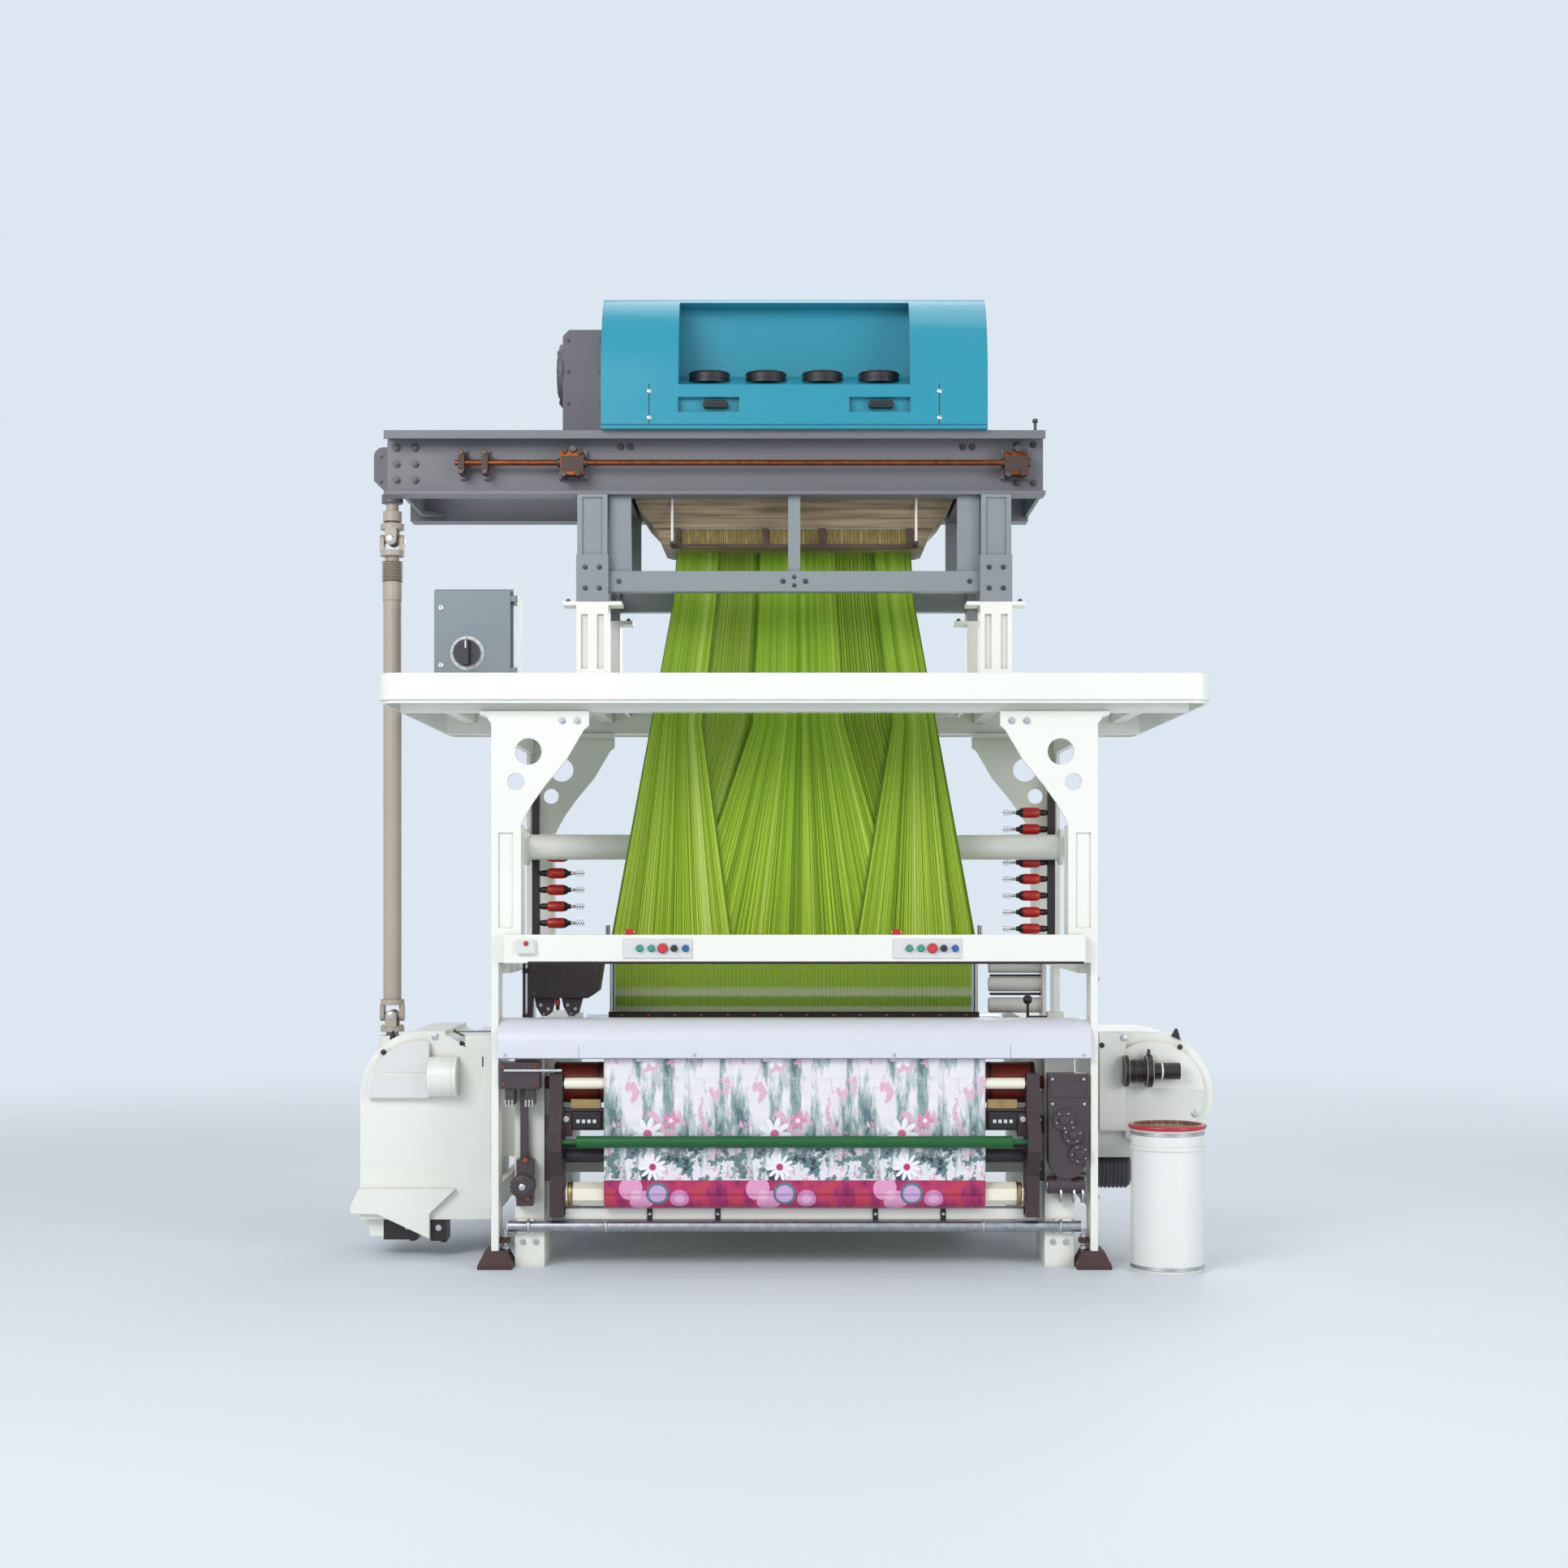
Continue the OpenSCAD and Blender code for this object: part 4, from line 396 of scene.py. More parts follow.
def bolts(name, places, facing, radius, height, finish, body="root"):
    """Sets a bolt at each place, all facing one way."""
    mesh = bpy.data.meshes.new(name + "_places")
    mesh.from_pydata([tuple(p) for p in places], [], [])
    layer = mesh.attributes.new("facing", "FLOAT_VECTOR", "POINT")
    layer.data.foreach_set("vector", list(facing) * len(places))
    return grown(mesh, bolt_tree, bolt_ids,
                 {"Head Radius": radius, "Head Height": height, "Finish": finish},
                 name, body)


def metal(name, colour, roughness, brushed=True, flecks=60, dull=0.1):
    """Bare or plated metal with fine scratches and a little tarnish."""
    finish, tree, shader, place = new_finish(name, roughness, 1.0)
    tarnish = mottle(tree, place, flecks, 6)
    tone = shades(tree, (tarnish, "Fac"), [
        (0.35, tuple(c * (1 - dull) for c in colour)), (0.65, colour)])
    knit(tree, (tone, "Color"), (shader, "Base Color"))
    gloss = new_node(tree, "ShaderNodeMapRange",
                     {"To Min": max(roughness - 0.08, 0.03), "To Max": roughness + 0.12})
    knit(tree, (tarnish, "Fac"), (gloss, "Value"))
    knit(tree, (gloss, "Result"), (shader, "Roughness"))
    grain = mottle(tree, place, 900 if brushed else 260, 2)
    relief(tree, shader, (grain, "Fac"), 0.08 if brushed else 0.2, 0.0003)
    return finish


steel = metal("bright_steel", (0.62, 0.62, 0.63), 0.28)
zinc = metal("zinc_plated", (0.55, 0.56, 0.57), 0.36)
black_bolt = metal("blackened_steel", (0.10, 0.095, 0.095), 0.42)
foot_casting = painted("foot_casting", linear(74, 46, 42), 0.6, peel=0.5, speckle=0.3)
dress(foot_casting, "levelling_feet")
foot_x, foot_y = 0.904, 0.485
jack = Workpiece()
for foot_side in (-1, 1):
    for foot_end in (-1, 1):
        jack_at = (foot_side * (foot_x - 0.027), foot_end * (foot_y + 0.012))
        jack.rod((*jack_at, 0.02), (*jack_at, 0.118), 0.007, 0, 16)
        jack.rod((*jack_at, 0.056), (*jack_at, 0.068), 0.0125, 0, 6)
        jack.rod((*jack_at, 0.092), (*jack_at, 0.102), 0.0125, 0, 6)
        jack.block((min(foot_side * 0.893, foot_side * 0.862), jack_at[1] - 0.018, 0.076),
                   (max(foot_side * 0.893, foot_side * 0.862), jack_at[1] + 0.018, 0.090), 1)
jack.finish("jack_screws", "root", "steel", [zinc, foot_casting], 0.001)

# Gantry: four welded columns with gussets, side rails and a round tie tube, sprayed white.
# Hexagon bolts hold the deck's bearers to the gussets and the side rails to the columns.
white_enamel = painted("white_enamel", linear(243, 243, 236), 0.34, coat=0.15)
white_cast = painted("white_casting", linear(238, 238, 230), 0.42, peel=0.35, reach=0.05)
dress(white_enamel, "gantry_frame")
gusset_face_y = -0.5355
bolts("gusset_bolts", [(s * x, gusset_face_y, 1.655) for s in (-1, 1) for x in (0.655, 0.70)],
      (0, -1, 0), 0.008, 0.007, zinc)
column_face_x = 0.9155
bolts("column_bolts",
      [(s * column_face_x, y, z)
       for s in (-1, 1) for y in (-0.505, -0.465) for z in (0.215, 0.875)],
      (1, 0, 0), 0.007, 0.006, zinc)
tube_y, tube_z = 0.185, 1.288
weld = Workpiece()
for weld_side in (-1, 1):
    weld.turned((weld_side * 0.8812, tube_y, tube_z), (weld_side * 0.8750, tube_y, tube_z),
                [(0, 0.0575), (1, 0.0435)], 0, 40)
weld.finish("tie_tube_welds", "root", "white_paint", [white_enamel], 0.0)

# Walkway: white deck of folded sheet steel with a rolled edge and a curb round the harness
# opening. Welded bearers and joists carry it on the gantry.
dress(white_enamel, "walkway_deck")

# Lower posts: four white steel posts with welded base and top plates, bolted to the deck and
# clamped under the head frame.
dress(white_enamel, "deck_posts")
post_x, post_y = 0.629, 0.260
deck_top, post_top = 1.794, 2.044
bolts("deck_post_bolts",
      [(s * (post_x + dx), e * (post_y + 0.049), deck_top + 0.012)
       for s in (-1, 1) for e in (-1, 1) for dx in (-0.060, 0.060)],
      (0, 0, 1), 0.009, 0.008, zinc)
bolts("head_foot_bolts",
      [(s * (post_x + dx), e * (post_y + dy), post_top)
       for s in (-1, 1) for e in (-1, 1) for dx in (-0.077, 0.077) for dy in (-0.025, 0.025)],
      (0, 0, 1), 0.007, 0.007, black_bolt)

# Head frame: grey steel posts with bolted sleeves, a ring beam, inner plates and middle bars,
# welded up and sprayed.
post_grey = painted("post_grey", linear(140, 147, 152), 0.4, peel=0.2, speckle=0.08)
dress(post_grey, "head_frame")
bolts("sleeve_bolts",
      [(s * (post_x + dx), -post_y - 0.0472, z)
       for s in (-1, 1) for dx in (-0.022, 0.022) for z in (2.085, 2.150)],
      (0, -1, 0), 0.006, 0.006, black_bolt)
bolts("ring_bolts",
      [(s * x, -post_y - 0.0255, 2.109) for s in (-1, 1) for x in (0.035, 0.548)],
      (0, -1, 0), 0.006, 0.006, black_bolt)
bolts("middle_bar_bolts", [(0, -post_y - 0.0255, z) for z in (2.096, 2.122)],
      (0, -1, 0), 0.005, 0.005, black_bolt)

# Top frame: two long grey channels that carry the pattern head, joined by cross plates. The
# bolt groups at its ends hold the cross plates.
beam_grey = painted("beam_grey", linear(118, 118, 123), 0.42, peel=0.2, speckle=0.08)
dress(beam_grey, "top_frame")
web_y = -0.232
bolts("beam_end_bolts",
      [(x, web_y, z) for x in (-1.250, -1.192) for z in (2.435, 2.485, 2.535)],
      (0, -1, 0), 0.010, 0.008, black_bolt)
bolts("beam_pair_bolts", [(x, web_y, 2.538) for x in (-0.545, -0.515, 0.530, 0.560)],
      (0, -1, 0), 0.008, 0.007, black_bolt)
bolts("beam_tail_bolts",
      [(x, web_y, z) for x in (0.700, 0.752) for z in (2.425, 2.545)],
      (0, -1, 0), 0.008, 0.007, black_bolt)
bolts("beam_rear_bolts",
      [(x, -web_y, z) for x in (-1.250, -1.192, 0.700, 0.752) for z in (2.435, 2.535)],
      (0, 1, 0), 0.009, 0.008, black_bolt)
pin_x, pin_y = 0.755, -0.262
pin = Workpiece()
pin.rod((pin_x, pin_y, 2.578), (pin_x, pin_y, 2.608), 0.005, 0, 12)
pin.turned((pin_x, pin_y, 2.606), (pin_x, pin_y, 2.622),
           [(0, 0.004), (0.3, 0.009), (0.8, 0.008), (1, 0.003)], 0, 16)
pin.finish("beam_pin", "root", "steel", [black_bolt])

# Rod on the front beam: drawn copper with oily clamp clusters, each a clamp block with tie
# bolts and a short spring.
copper = metal("brown_copper", linear(150, 82, 44), 0.3, dull=0.35)
dress(copper, "beam_rod")
rod_y, rod_z = -0.280, 2.480
cluster = Workpiece()
for at_x in (-0.694, 0.693):
    cluster.block((at_x - 0.034, rod_y - 0.019, rod_z - 0.030),
                  (at_x + 0.034, rod_y + 0.012, rod_z + 0.018), 0)
    for k, (dx, dz, r) in enumerate(((-0.022, 0.034, 0.010), (0.004, 0.040, 0.012),
                                     (0.026, 0.030, 0.009), (-0.026, -0.040, 0.010),
                                     (0.020, -0.036, 0.011))):
        cluster.rod((at_x + dx, rod_y - 0.024 - 0.002 * k, rod_z + dz),
                    (at_x + dx, rod_y + 0.020, rod_z + dz), r, k % 2, 12)
    cluster.rod((at_x - 0.046, rod_y, rod_z), (at_x + 0.046, rod_y, rod_z), 0.0135, 1, 16)
for at_x in (-1.039, -0.966):
    cluster.block((at_x - 0.010, rod_y - 0.016, rod_z - 0.022),
                  (at_x + 0.010, rod_y + 0.010, rod_z + 0.022), 0)
    for dz in (-0.030, 0.030):
        cluster.rod((at_x, rod_y - 0.019, rod_z + dz), (at_x, rod_y + 0.016, rod_z + dz),
                    0.008, 1, 6)
clamp_brown = painted("clamp_brown", linear(70, 52, 44), 0.5, peel=0.4, speckle=0.3)
cluster.finish("rod_clamps", "root", "dark_iron", [clamp_brown, black_bolt], 0.001)

# Pattern head: teal sheet-metal housing, glossy, with a deep pocket on its front. The pocket's
# ledge carries four black fan grilles, and two black grips are let into the skirt below.
teal_enamel = painted("teal_enamel", linear(28, 146, 170), 0.3, peel=0.10, coat=0.35,
                      speckle=0.05, round_edge=0.004)
black_moulding = painted("black_moulding", linear(26, 26, 28), 0.45, peel=0.5, speckle=0.2)
dress(teal_enamel, "jacquard_housing")
ease_tree, _, ease_in, ease_out = tree_with("eased_facets", [])
ease_weld = new_node(ease_tree, "GeometryNodeMergeByDistance", {"Distance": 0.00001})
ease_plain = new_node(ease_tree, "GeometryNodeRemoveAttribute", {"Name": "custom_normal"})
ease_round = new_node(ease_tree, "GeometryNodeSetShadeSmooth")
ease_angle = new_node(ease_tree, "GeometryNodeInputMeshEdgeAngle")
ease_corner = new_node(ease_tree, "FunctionNodeCompare", {1: math.radians(24)},
                       data_type="FLOAT", operation="GREATER_THAN")
ease_sharp = new_node(ease_tree, "GeometryNodeSetShadeSmooth", {"Shade Smooth": False},
                      domain="EDGE")
knit(ease_tree, (ease_in, "Geometry"), (ease_plain, "Geometry"))
knit(ease_tree, (ease_plain, "Geometry"), (ease_weld, "Geometry"))
knit(ease_tree, (ease_weld, "Geometry"), (ease_round, "Geometry"))
knit(ease_tree, (ease_angle, "Unsigned Angle"), (ease_corner, 0))
knit(ease_tree, (ease_corner, "Result"), (ease_sharp, "Selection"))
knit(ease_tree, (ease_round, "Geometry"), (ease_sharp, "Geometry"))
knit(ease_tree, (ease_sharp, "Geometry"), (ease_out, 0))
for rolled_sheet in ("jacquard_housing", "drive_housing", "rapier_cover", "breast_cover"):
    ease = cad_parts[rolled_sheet].modifiers.new("eased_facets", "NODES")
    ease.node_group = ease_tree
fan_pitch, fan_y, fan_z = 0.178, -0.210, 2.740
wire_tree, wire_ids, wire_in, wire_out = tree_with("drawn_wire", [
    ("Wire Radius", "NodeSocketFloat"), ("Wire Sides", "NodeSocketInt"),
    ("Finish", "NodeSocketMaterial")])
wire_path = new_node(wire_tree, "GeometryNodeMeshToCurve")
wire_round = new_node(wire_tree, "GeometryNodeCurvePrimitiveCircle")
wire_skin = new_node(wire_tree, "GeometryNodeCurveToMesh", {"Fill Caps": True})
wire_smooth = new_node(wire_tree, "GeometryNodeSetShadeSmooth")
wire_real = new_node(wire_tree, "GeometryNodeRealizeInstances")
wire_paint = new_node(wire_tree, "GeometryNodeSetMaterial")
knit(wire_tree, (wire_in, "Geometry"), (wire_path, "Mesh"))
knit(wire_tree, (wire_in, "Wire Radius"), (wire_round, "Radius"))
knit(wire_tree, (wire_in, "Wire Sides"), (wire_round, "Resolution"))
knit(wire_tree, (wire_path, "Curve"), (wire_skin, "Curve"))
knit(wire_tree, (wire_round, "Curve"), (wire_skin, "Profile Curve"))
knit(wire_tree, (wire_skin, "Mesh"), (wire_smooth, "Geometry"))
knit(wire_tree, (wire_smooth, "Geometry"), (wire_real, "Geometry"))
knit(wire_tree, (wire_real, "Geometry"), (wire_paint, "Geometry"))
knit(wire_tree, (wire_in, "Finish"), (wire_paint, "Material"))
knit(wire_tree, (wire_paint, "Geometry"), (wire_out, 0))


def wires(name, paths, radius, finish, body="root", sides=8, loops=False, tones=()):
    """Runs a wire or cord of one radius along each path, each with its tone if there are any."""
    points, edges, point_tones = [], [], []
    for k, path in enumerate(paths):
        start = len(points)
        points += [tuple(p) for p in path]
        edges += [(start + i, start + i + 1) for i in range(len(path) - 1)]
        if loops:
            edges.append((start + len(path) - 1, start))
        if tones:
            point_tones += [tones[k]] * len(path)
    mesh = bpy.data.meshes.new(name + "_paths")
    mesh.from_pydata(points, edges, [])
    if tones:
        mesh.attributes.new("tone", "FLOAT", "POINT").data.foreach_set("value", point_tones)
    return grown(mesh, wire_tree, wire_ids,
                 {"Wire Radius": radius, "Wire Sides": sides, "Finish": finish},
                 name, body, 80)


def ring_path(centre, radius, steps=32, axis="Z"):
    """Points round a circle about the Z or Y axis."""
    path = []
    for cosine, sine in around(steps):
        u, v = radius * cosine, radius * sine
        offset = {"Z": (u, v, 0), "Y": (u, 0, v)}[axis]
        path.append(tuple(c + o for c, o in zip(centre, offset)))
    return path


grille, fans = [], Workpiece()
fan_places = [(k - 1.5) * fan_pitch for k in range(4)]
for fan_x in fan_places:
    for ring_radius in (0.014, 0.024, 0.034, 0.044, 0.053):
        grille.append(ring_path((fan_x, fan_y, fan_z + 0.0285), ring_radius))
    fans.turned((fan_x, fan_y, fan_z + 0.0265), (fan_x, fan_y, fan_z + 0.033),
                [(0, 0.064), (0.5, 0.0655), (1, 0.0625), (1, 0.0555), (0.2, 0.0555)], 0, 44)
    fans.turned((fan_x, fan_y, fan_z - 0.0025), (fan_x, fan_y, fan_z + 0.0270),
                [(0, 0.0638), (0.4, 0.0638), (0.4, 0.0646), (0.6, 0.0646), (0.6, 0.0638),
                 (1, 0.0638)], 0, 44)
    fans.turned((fan_x, fan_y, fan_z + 0.014), (fan_x, fan_y, fan_z + 0.026),
                [(0, 0.019), (0.8, 0.019), (1, 0.015)], 0, 24)
    for u, v in around(7):
        reach = Vector((u, v, 0))
        across = Vector((-v, u, 0.20)).normalized()
        centre = Vector((fan_x, fan_y, fan_z + 0.0225))
        corners = [centre + reach * out + across * wide
                   for out, wide in ((0.018, -0.006), (0.018, 0.006), (0.053, 0.017),
                                     (0.053, -0.013))]
        lift = Vector((0, 0, 0.0012))
        fans.add([c - lift for c in corners] + [c + lift for c in corners],
                 [(3, 2, 1, 0), (4, 5, 6, 7), (0, 1, 5, 4), (1, 2, 6, 5), (2, 3, 7, 6),
                  (3, 0, 4, 7)], 0)
fans.finish("fan_rings", "root", "black_plastic", [black_moulding])
wires("fan_grilles", grille, 0.0014, black_bolt, loops=True, sides=6)
spokes = [[(fan_x + r * u, fan_y + r * v, fan_z + 0.0285) for r in (0.010, 0.058)]
          for fan_x in fan_places for u, v in around(4, math.pi / 4)]
wires("fan_spokes", spokes, 0.0018, black_bolt, sides=6)
bolts("fan_screws",
      [(fan_x + 0.060 * u, fan_y + 0.060 * v, fan_z + 0.031)
       for fan_x in fan_places for u, v in around(4, math.pi / 4)],
      (0, 0, 1), 0.003, 0.002, zinc)
skirt_y, grip_z = -0.3245, 2.655
grips = Workpiece()
for grip_x in (-0.245, 0.270):
    outline = [(grip_x + dx, grip_z + dz)
               for dx, dz in ((-0.040, 0), (-0.034, 0.011), (0.034, 0.011), (0.040, 0),
                              (0.036, -0.011), (-0.036, -0.011))]
    grips.plate(outline, skirt_y, -0.306)
    grips.block((grip_x - 0.030, -0.3225, 2.652), (grip_x + 0.030, -0.3255, 2.657), 0)
grips.finish("recessed_grips", "root", "black_plastic", [black_moulding], 0.0015)
lid_y, lid_z = -0.120, 3.019
eyes = Workpiece()
for eye_x in (-0.400, 0.025, 0.455):
    eyes.turned((eye_x, lid_y, lid_z), (eye_x, lid_y, lid_z + 0.0095),
                [(0, 0.020), (0.25, 0.020), (0.4, 0.012), (0.8, 0.011), (1, 0.006)], 0, 24)
eyes.finish("lid_screws", "root", "steel", [teal_enamel])
seams = Workpiece()
for seam_x in (-0.451, 0.451):
    for seam_z in (2.612, 2.694):
        seams.stud(seam_x, seam_z, skirt_y, skirt_y - 0.0035, 0.007, 0.004)
seams.finish("skirt_screws", "root", "steel", [zinc])

# Gearboxes: hammered dark grey castings, one at the beams' end and one on the head's side,
# with a bright steel shaft between them.
gear_grey = painted("gear_grey", linear(104, 100, 108), 0.42, peel=0.6, speckle=0.12)
dress(gear_grey, "drive_gearboxes")
dress(steel, "head_drive_shaft")
side_box_y, angle_box_y = -0.1252, -0.0952
bolts("side_gearbox_bolts",
      [(x, side_box_y, z) for x in (-0.722, -0.618) for z in (2.60, 2.70, 2.80, 2.90)],
      (0, -1, 0), 0.006, 0.005, black_bolt)
bolts("angle_box_bolts",
      [(x, angle_box_y, z) for x in (-1.325, -1.262) for z in (2.455, 2.535)],
      (0, -1, 0), 0.006, 0.005, black_bolt)

# Cardan: beige steel tube with forks at each end, crosses in needle bearings and a slip joint
# under a ribbed boot.
cardan_beige = painted("cardan_beige", linear(190, 178, 163), 0.42, peel=0.25, speckle=0.12,
                       grime_and_shade=(0.35, 0.28, 0.22))
dress(cardan_beige, "cardan_shaft", "cardan_joints")
cardan_x, cardan_y, cap_face, flange_r = -1.298, -0.030, 0.0381, 0.031
caps = Workpiece()
for joint_z in (0.740, 2.275):
    for pin_axis in (Vector((1, 0, 0)), Vector((0, 1, 0))):
        for end in (-1, 1):
            face = Vector((cardan_x, cardan_y, joint_z)) + pin_axis * end * cap_face
            caps.turned(face, face + pin_axis * end * 0.003,
                        [(0, 0.0125), (0.5, 0.0125), (1, 0.009)], 0, 20)
caps.finish("bearing_caps", "cardan", "steel", [steel])
bolts("cardan_flange_bolts",
      [(cardan_x + flange_r * math.cos(a), cardan_y + flange_r * math.sin(a), z)
       for z in (0.705, 2.310) for a in (0.4, 1.97, 3.54, 5.11)],
      (0, 0, 1), 0.005, 0.004, zinc, body="cardan")
boots = Workpiece()
boot_shape = [(i / 16, 0.031 + 0.004 * math.cos(i * math.pi)) for i in range(17)]
boots.turned((cardan_x, cardan_y, 2.142), (cardan_x, cardan_y, 2.205), boot_shape, 0, 28)
boots.finish("slip_joint_boot", "cardan", "cardan_beige", [cardan_beige], 0, 80)

# Harness board: tan laminated board, stepped towards its lower band, where rows of hooks show
# as dark ticks. Two white tie rods stand before it and a brown strip closes it below.


def streaked(name, stops, stretch, roughness, depth=0.0004, gloss=0.0):
    """Drawn-out noise through colour stops, for laminate, wood and pressed sheet."""
    finish, tree, shader, place = new_finish(name, roughness)
    stretching = new_node(tree, "ShaderNodeMapping", {"Scale": stretch})
    knit(tree, (place, "Object"), (stretching, "Vector"))
    noise = new_node(tree, "ShaderNodeTexNoise", {"Scale": 1.0, "Detail": 6})
    knit(tree, (stretching, "Vector"), (noise, "Vector"))
    tone = shades(tree, (noise, "Fac"), stops)
    knit(tree, (tone, "Color"), (shader, "Base Color"))
    if gloss:
        shader.inputs["Coat Weight"].default_value = gloss
    relief(tree, shader, (noise, "Fac"), 0.25, depth)
    return finish


tan_board = streaked("tan_board", [(0.32, linear(112, 94, 72)), (0.5, linear(150, 131, 102)),
                                   (0.68, linear(172, 154, 122))], (3, 3, 90), 0.5)
brown_strip = streaked("brown_strip", [(0.35, linear(58, 42, 36)), (0.65, linear(84, 64, 52))],
                       (6, 6, 70), 0.55)
ochre_band = streaked("ochre_band", [(0.35, linear(122, 104, 40)), (0.65, linear(158, 140, 66))],
                      (160, 8, 30), 0.5)
dress(tan_board, "harness_board")
board_front, board_low = -0.125, 2.234
strips = Workpiece()
for half, proud, low, high, mark in ((0.392, 0.0145, -0.001, 0.013, 0),
                                     (0.380, 0.0040, 0.013, 0.062, 1),
                                     (0.384, 0.0060, 0.062, 0.068, 2)):
    strips.block((-half, board_front - proud, board_low + low),
                 (half, board_front - 0.0008, board_low + high), mark)
for divider_x in (-0.370, -0.092, 0.092, 0.370):
    strips.block((divider_x - 0.008, board_front - 0.0160, board_low + 0.003),
                 (divider_x + 0.008, board_front - 0.0020, board_low + 0.064), 0)
for rod_side in (-1, 1):
    strips.rod((rod_side * 0.386, -0.190, board_low + 0.010),
               (rod_side * 0.386, -0.190, board_low + 0.172), 0.0042, 2, 12)
    strips.block((rod_side * 0.386 - 0.007, -0.196, board_low + 0.006),
                 (rod_side * 0.386 + 0.007, board_front + 0.0008, board_low + 0.014), 0)
strips.finish("harness_board_strips", "root", "tan_board",
              [brown_strip, ochre_band, white_enamel], 0.0008)
hook_first, hook_pitch, hook_count = -0.366, 0.0061, 121
hooks = [[(hook_first + hook_pitch * k, board_front - 0.0045, board_low + z)
          for z in (0.014, 0.060)] for k in range(hook_count) if k % 5 or k % 10 == 0]
wires("harness_hooks", hooks, 0.0009, brown_strip, sides=5)
bolts("harness_board_bolts", [(x, -0.2052, z) for x in (-0.46, -0.24, 0.24, 0.46)
                              for z in (2.395, 2.52)],
      (0, -1, 0), 0.005, 0.004, black_bolt)

# Harness: some two thousand green cords, knotted to the hooks above and fanned through the deck
# to the comber board. Each repeat's cords cross those of its neighbours in flat layers.


def cord_fibre(name, low, stops):
    """Twisted polyester: its tone comes from the cord's own attribute, and it darkens towards the
    top as painted shade.
    """
    finish, tree, shader, place = new_finish(name, 0.62)
    tone = new_node(tree, "ShaderNodeAttribute", attribute_name="tone")
    ramp = shades(tree, (tone, "Fac"), stops)
    upright = new_node(tree, "ShaderNodeSeparateXYZ")
    knit(tree, (place, "Object"), (upright, "Vector"))
    # Mix towards dark green with height: painted shade, darker towards the top of the harness.
    height = new_node(tree, "ShaderNodeMapRange",
                      {"From Min": low, "From Max": low + 1.25, "To Min": 0.0, "To Max": 0.55})
    knit(tree, (upright, "Z"), (height, "Value"))
    shade_towards_top = new_node(tree, "ShaderNodeMix", {7: (*linear(86, 138, 18), 1)}, data_type="RGBA")
    knit(tree, (height, "Result"), (shade_towards_top, 0))
    knit(tree, (ramp, "Color"), (shade_towards_top, 6))
    knit(tree, (shade_towards_top, 2), (shader, "Base Color"))
    shader.inputs["Sheen Weight"].default_value = 0.25
    shader.inputs["Sheen Roughness"].default_value = 0.4
    relief(tree, shader, (mottle(tree, place, 1500, 1), "Fac"), 0.3, 0.0003)
    return finish


green_cord = cord_fibre("green_cord", 0.985, [
    (0.0, linear(100, 138, 22)), (0.35, linear(172, 208, 50)), (0.7, linear(198, 226, 78)),
    (1.0, linear(222, 240, 132))])
cord_levels = ((2.236, 0.377), (2.077, 0.388), (1.684, 0.460), (0.984, 0.590))
cord_layers = (
    # first and last share of the width above, the same below, rows from the front
    (-1.00, -0.64, -1.00, -0.33, (-0.041, -0.0375)), (0.69, 1.00, 0.34, 1.00, (-0.041, -0.0375)),
    (-0.29, 0.36, -0.64, 0.64, (-0.033, -0.0295)), (-1.00, 0.37, -1.00, -0.18, (-0.025, -0.021)),
    (-0.28, 1.00, 0.20, 1.00, (-0.025, -0.021)),
    (-1.00, 1.00, -1.00, 1.00, (-0.014, -0.010, 0.030, 0.065, 0.095, 0.120)))
straw = random.Random(41)
cords, cord_tones = [], []
for top_from, top_to, low_from, low_to, rows in cord_layers:
    count = round((low_to - low_from) * cord_levels[3][1] / 0.0040)
    for row, row_y in enumerate(rows):
        clump = 0.5
        for k in range(count):
            share = (k + 0.33 * (row % 3)) / count
            above = top_from + (top_to - top_from) * share
            below = low_from + (low_to - low_from) * share
            sway = straw.uniform(-0.0011, 0.0011)
            clump += straw.uniform(-0.16, 0.16) - 0.12 * (clump - 0.5)
            # The two outermost cords of each layer's front row get the darkest tone: painted shade
            # along the layer's edges.
            edge = min(k, count - 1 - k) < 2 and row == 0
            path = []
            for level, (z, half) in enumerate(cord_levels):
                at = below if level == 3 else above
                path.append((max(-half, min(half, at * half + sway)), row_y, z))
            cords.append(path)
            cord_tones.append(
                0.0 if edge else max(0.12, min(1.0, clump + straw.uniform(-0.3, 0.3))))
harness = wires("harness_cords", cords, 0.0014, green_cord, sides=4,
                tones=cord_tones)
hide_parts("harness")

# Comber board: a brown drilled board on two bars, which spaces the cords over the warp.
comber_wood = streaked("comber_wood", [(0.35, linear(112, 80, 42)), (0.65, linear(150, 112, 64))],
                       (3, 40, 40), 0.5)
dress(comber_wood, "comber_board")
comber_end_x, comber_top = 0.895, 0.985
bolts("comber_bolts",
      [(s * comber_end_x, y, comber_top) for s in (-1, 1) for y in (-0.0625, 0.1425)],
      (0, 0, 1), 0.007, 0.006, zinc)

# Heddles: two banks of flat steel heddles with an eye on the warp line, hung on green cords
# with pale couplings.
heddle_steel = metal("heddle_steel", (0.48, 0.49, 0.50), 0.34)
dress(heddle_steel, "heddles_front", "heddles_rear")


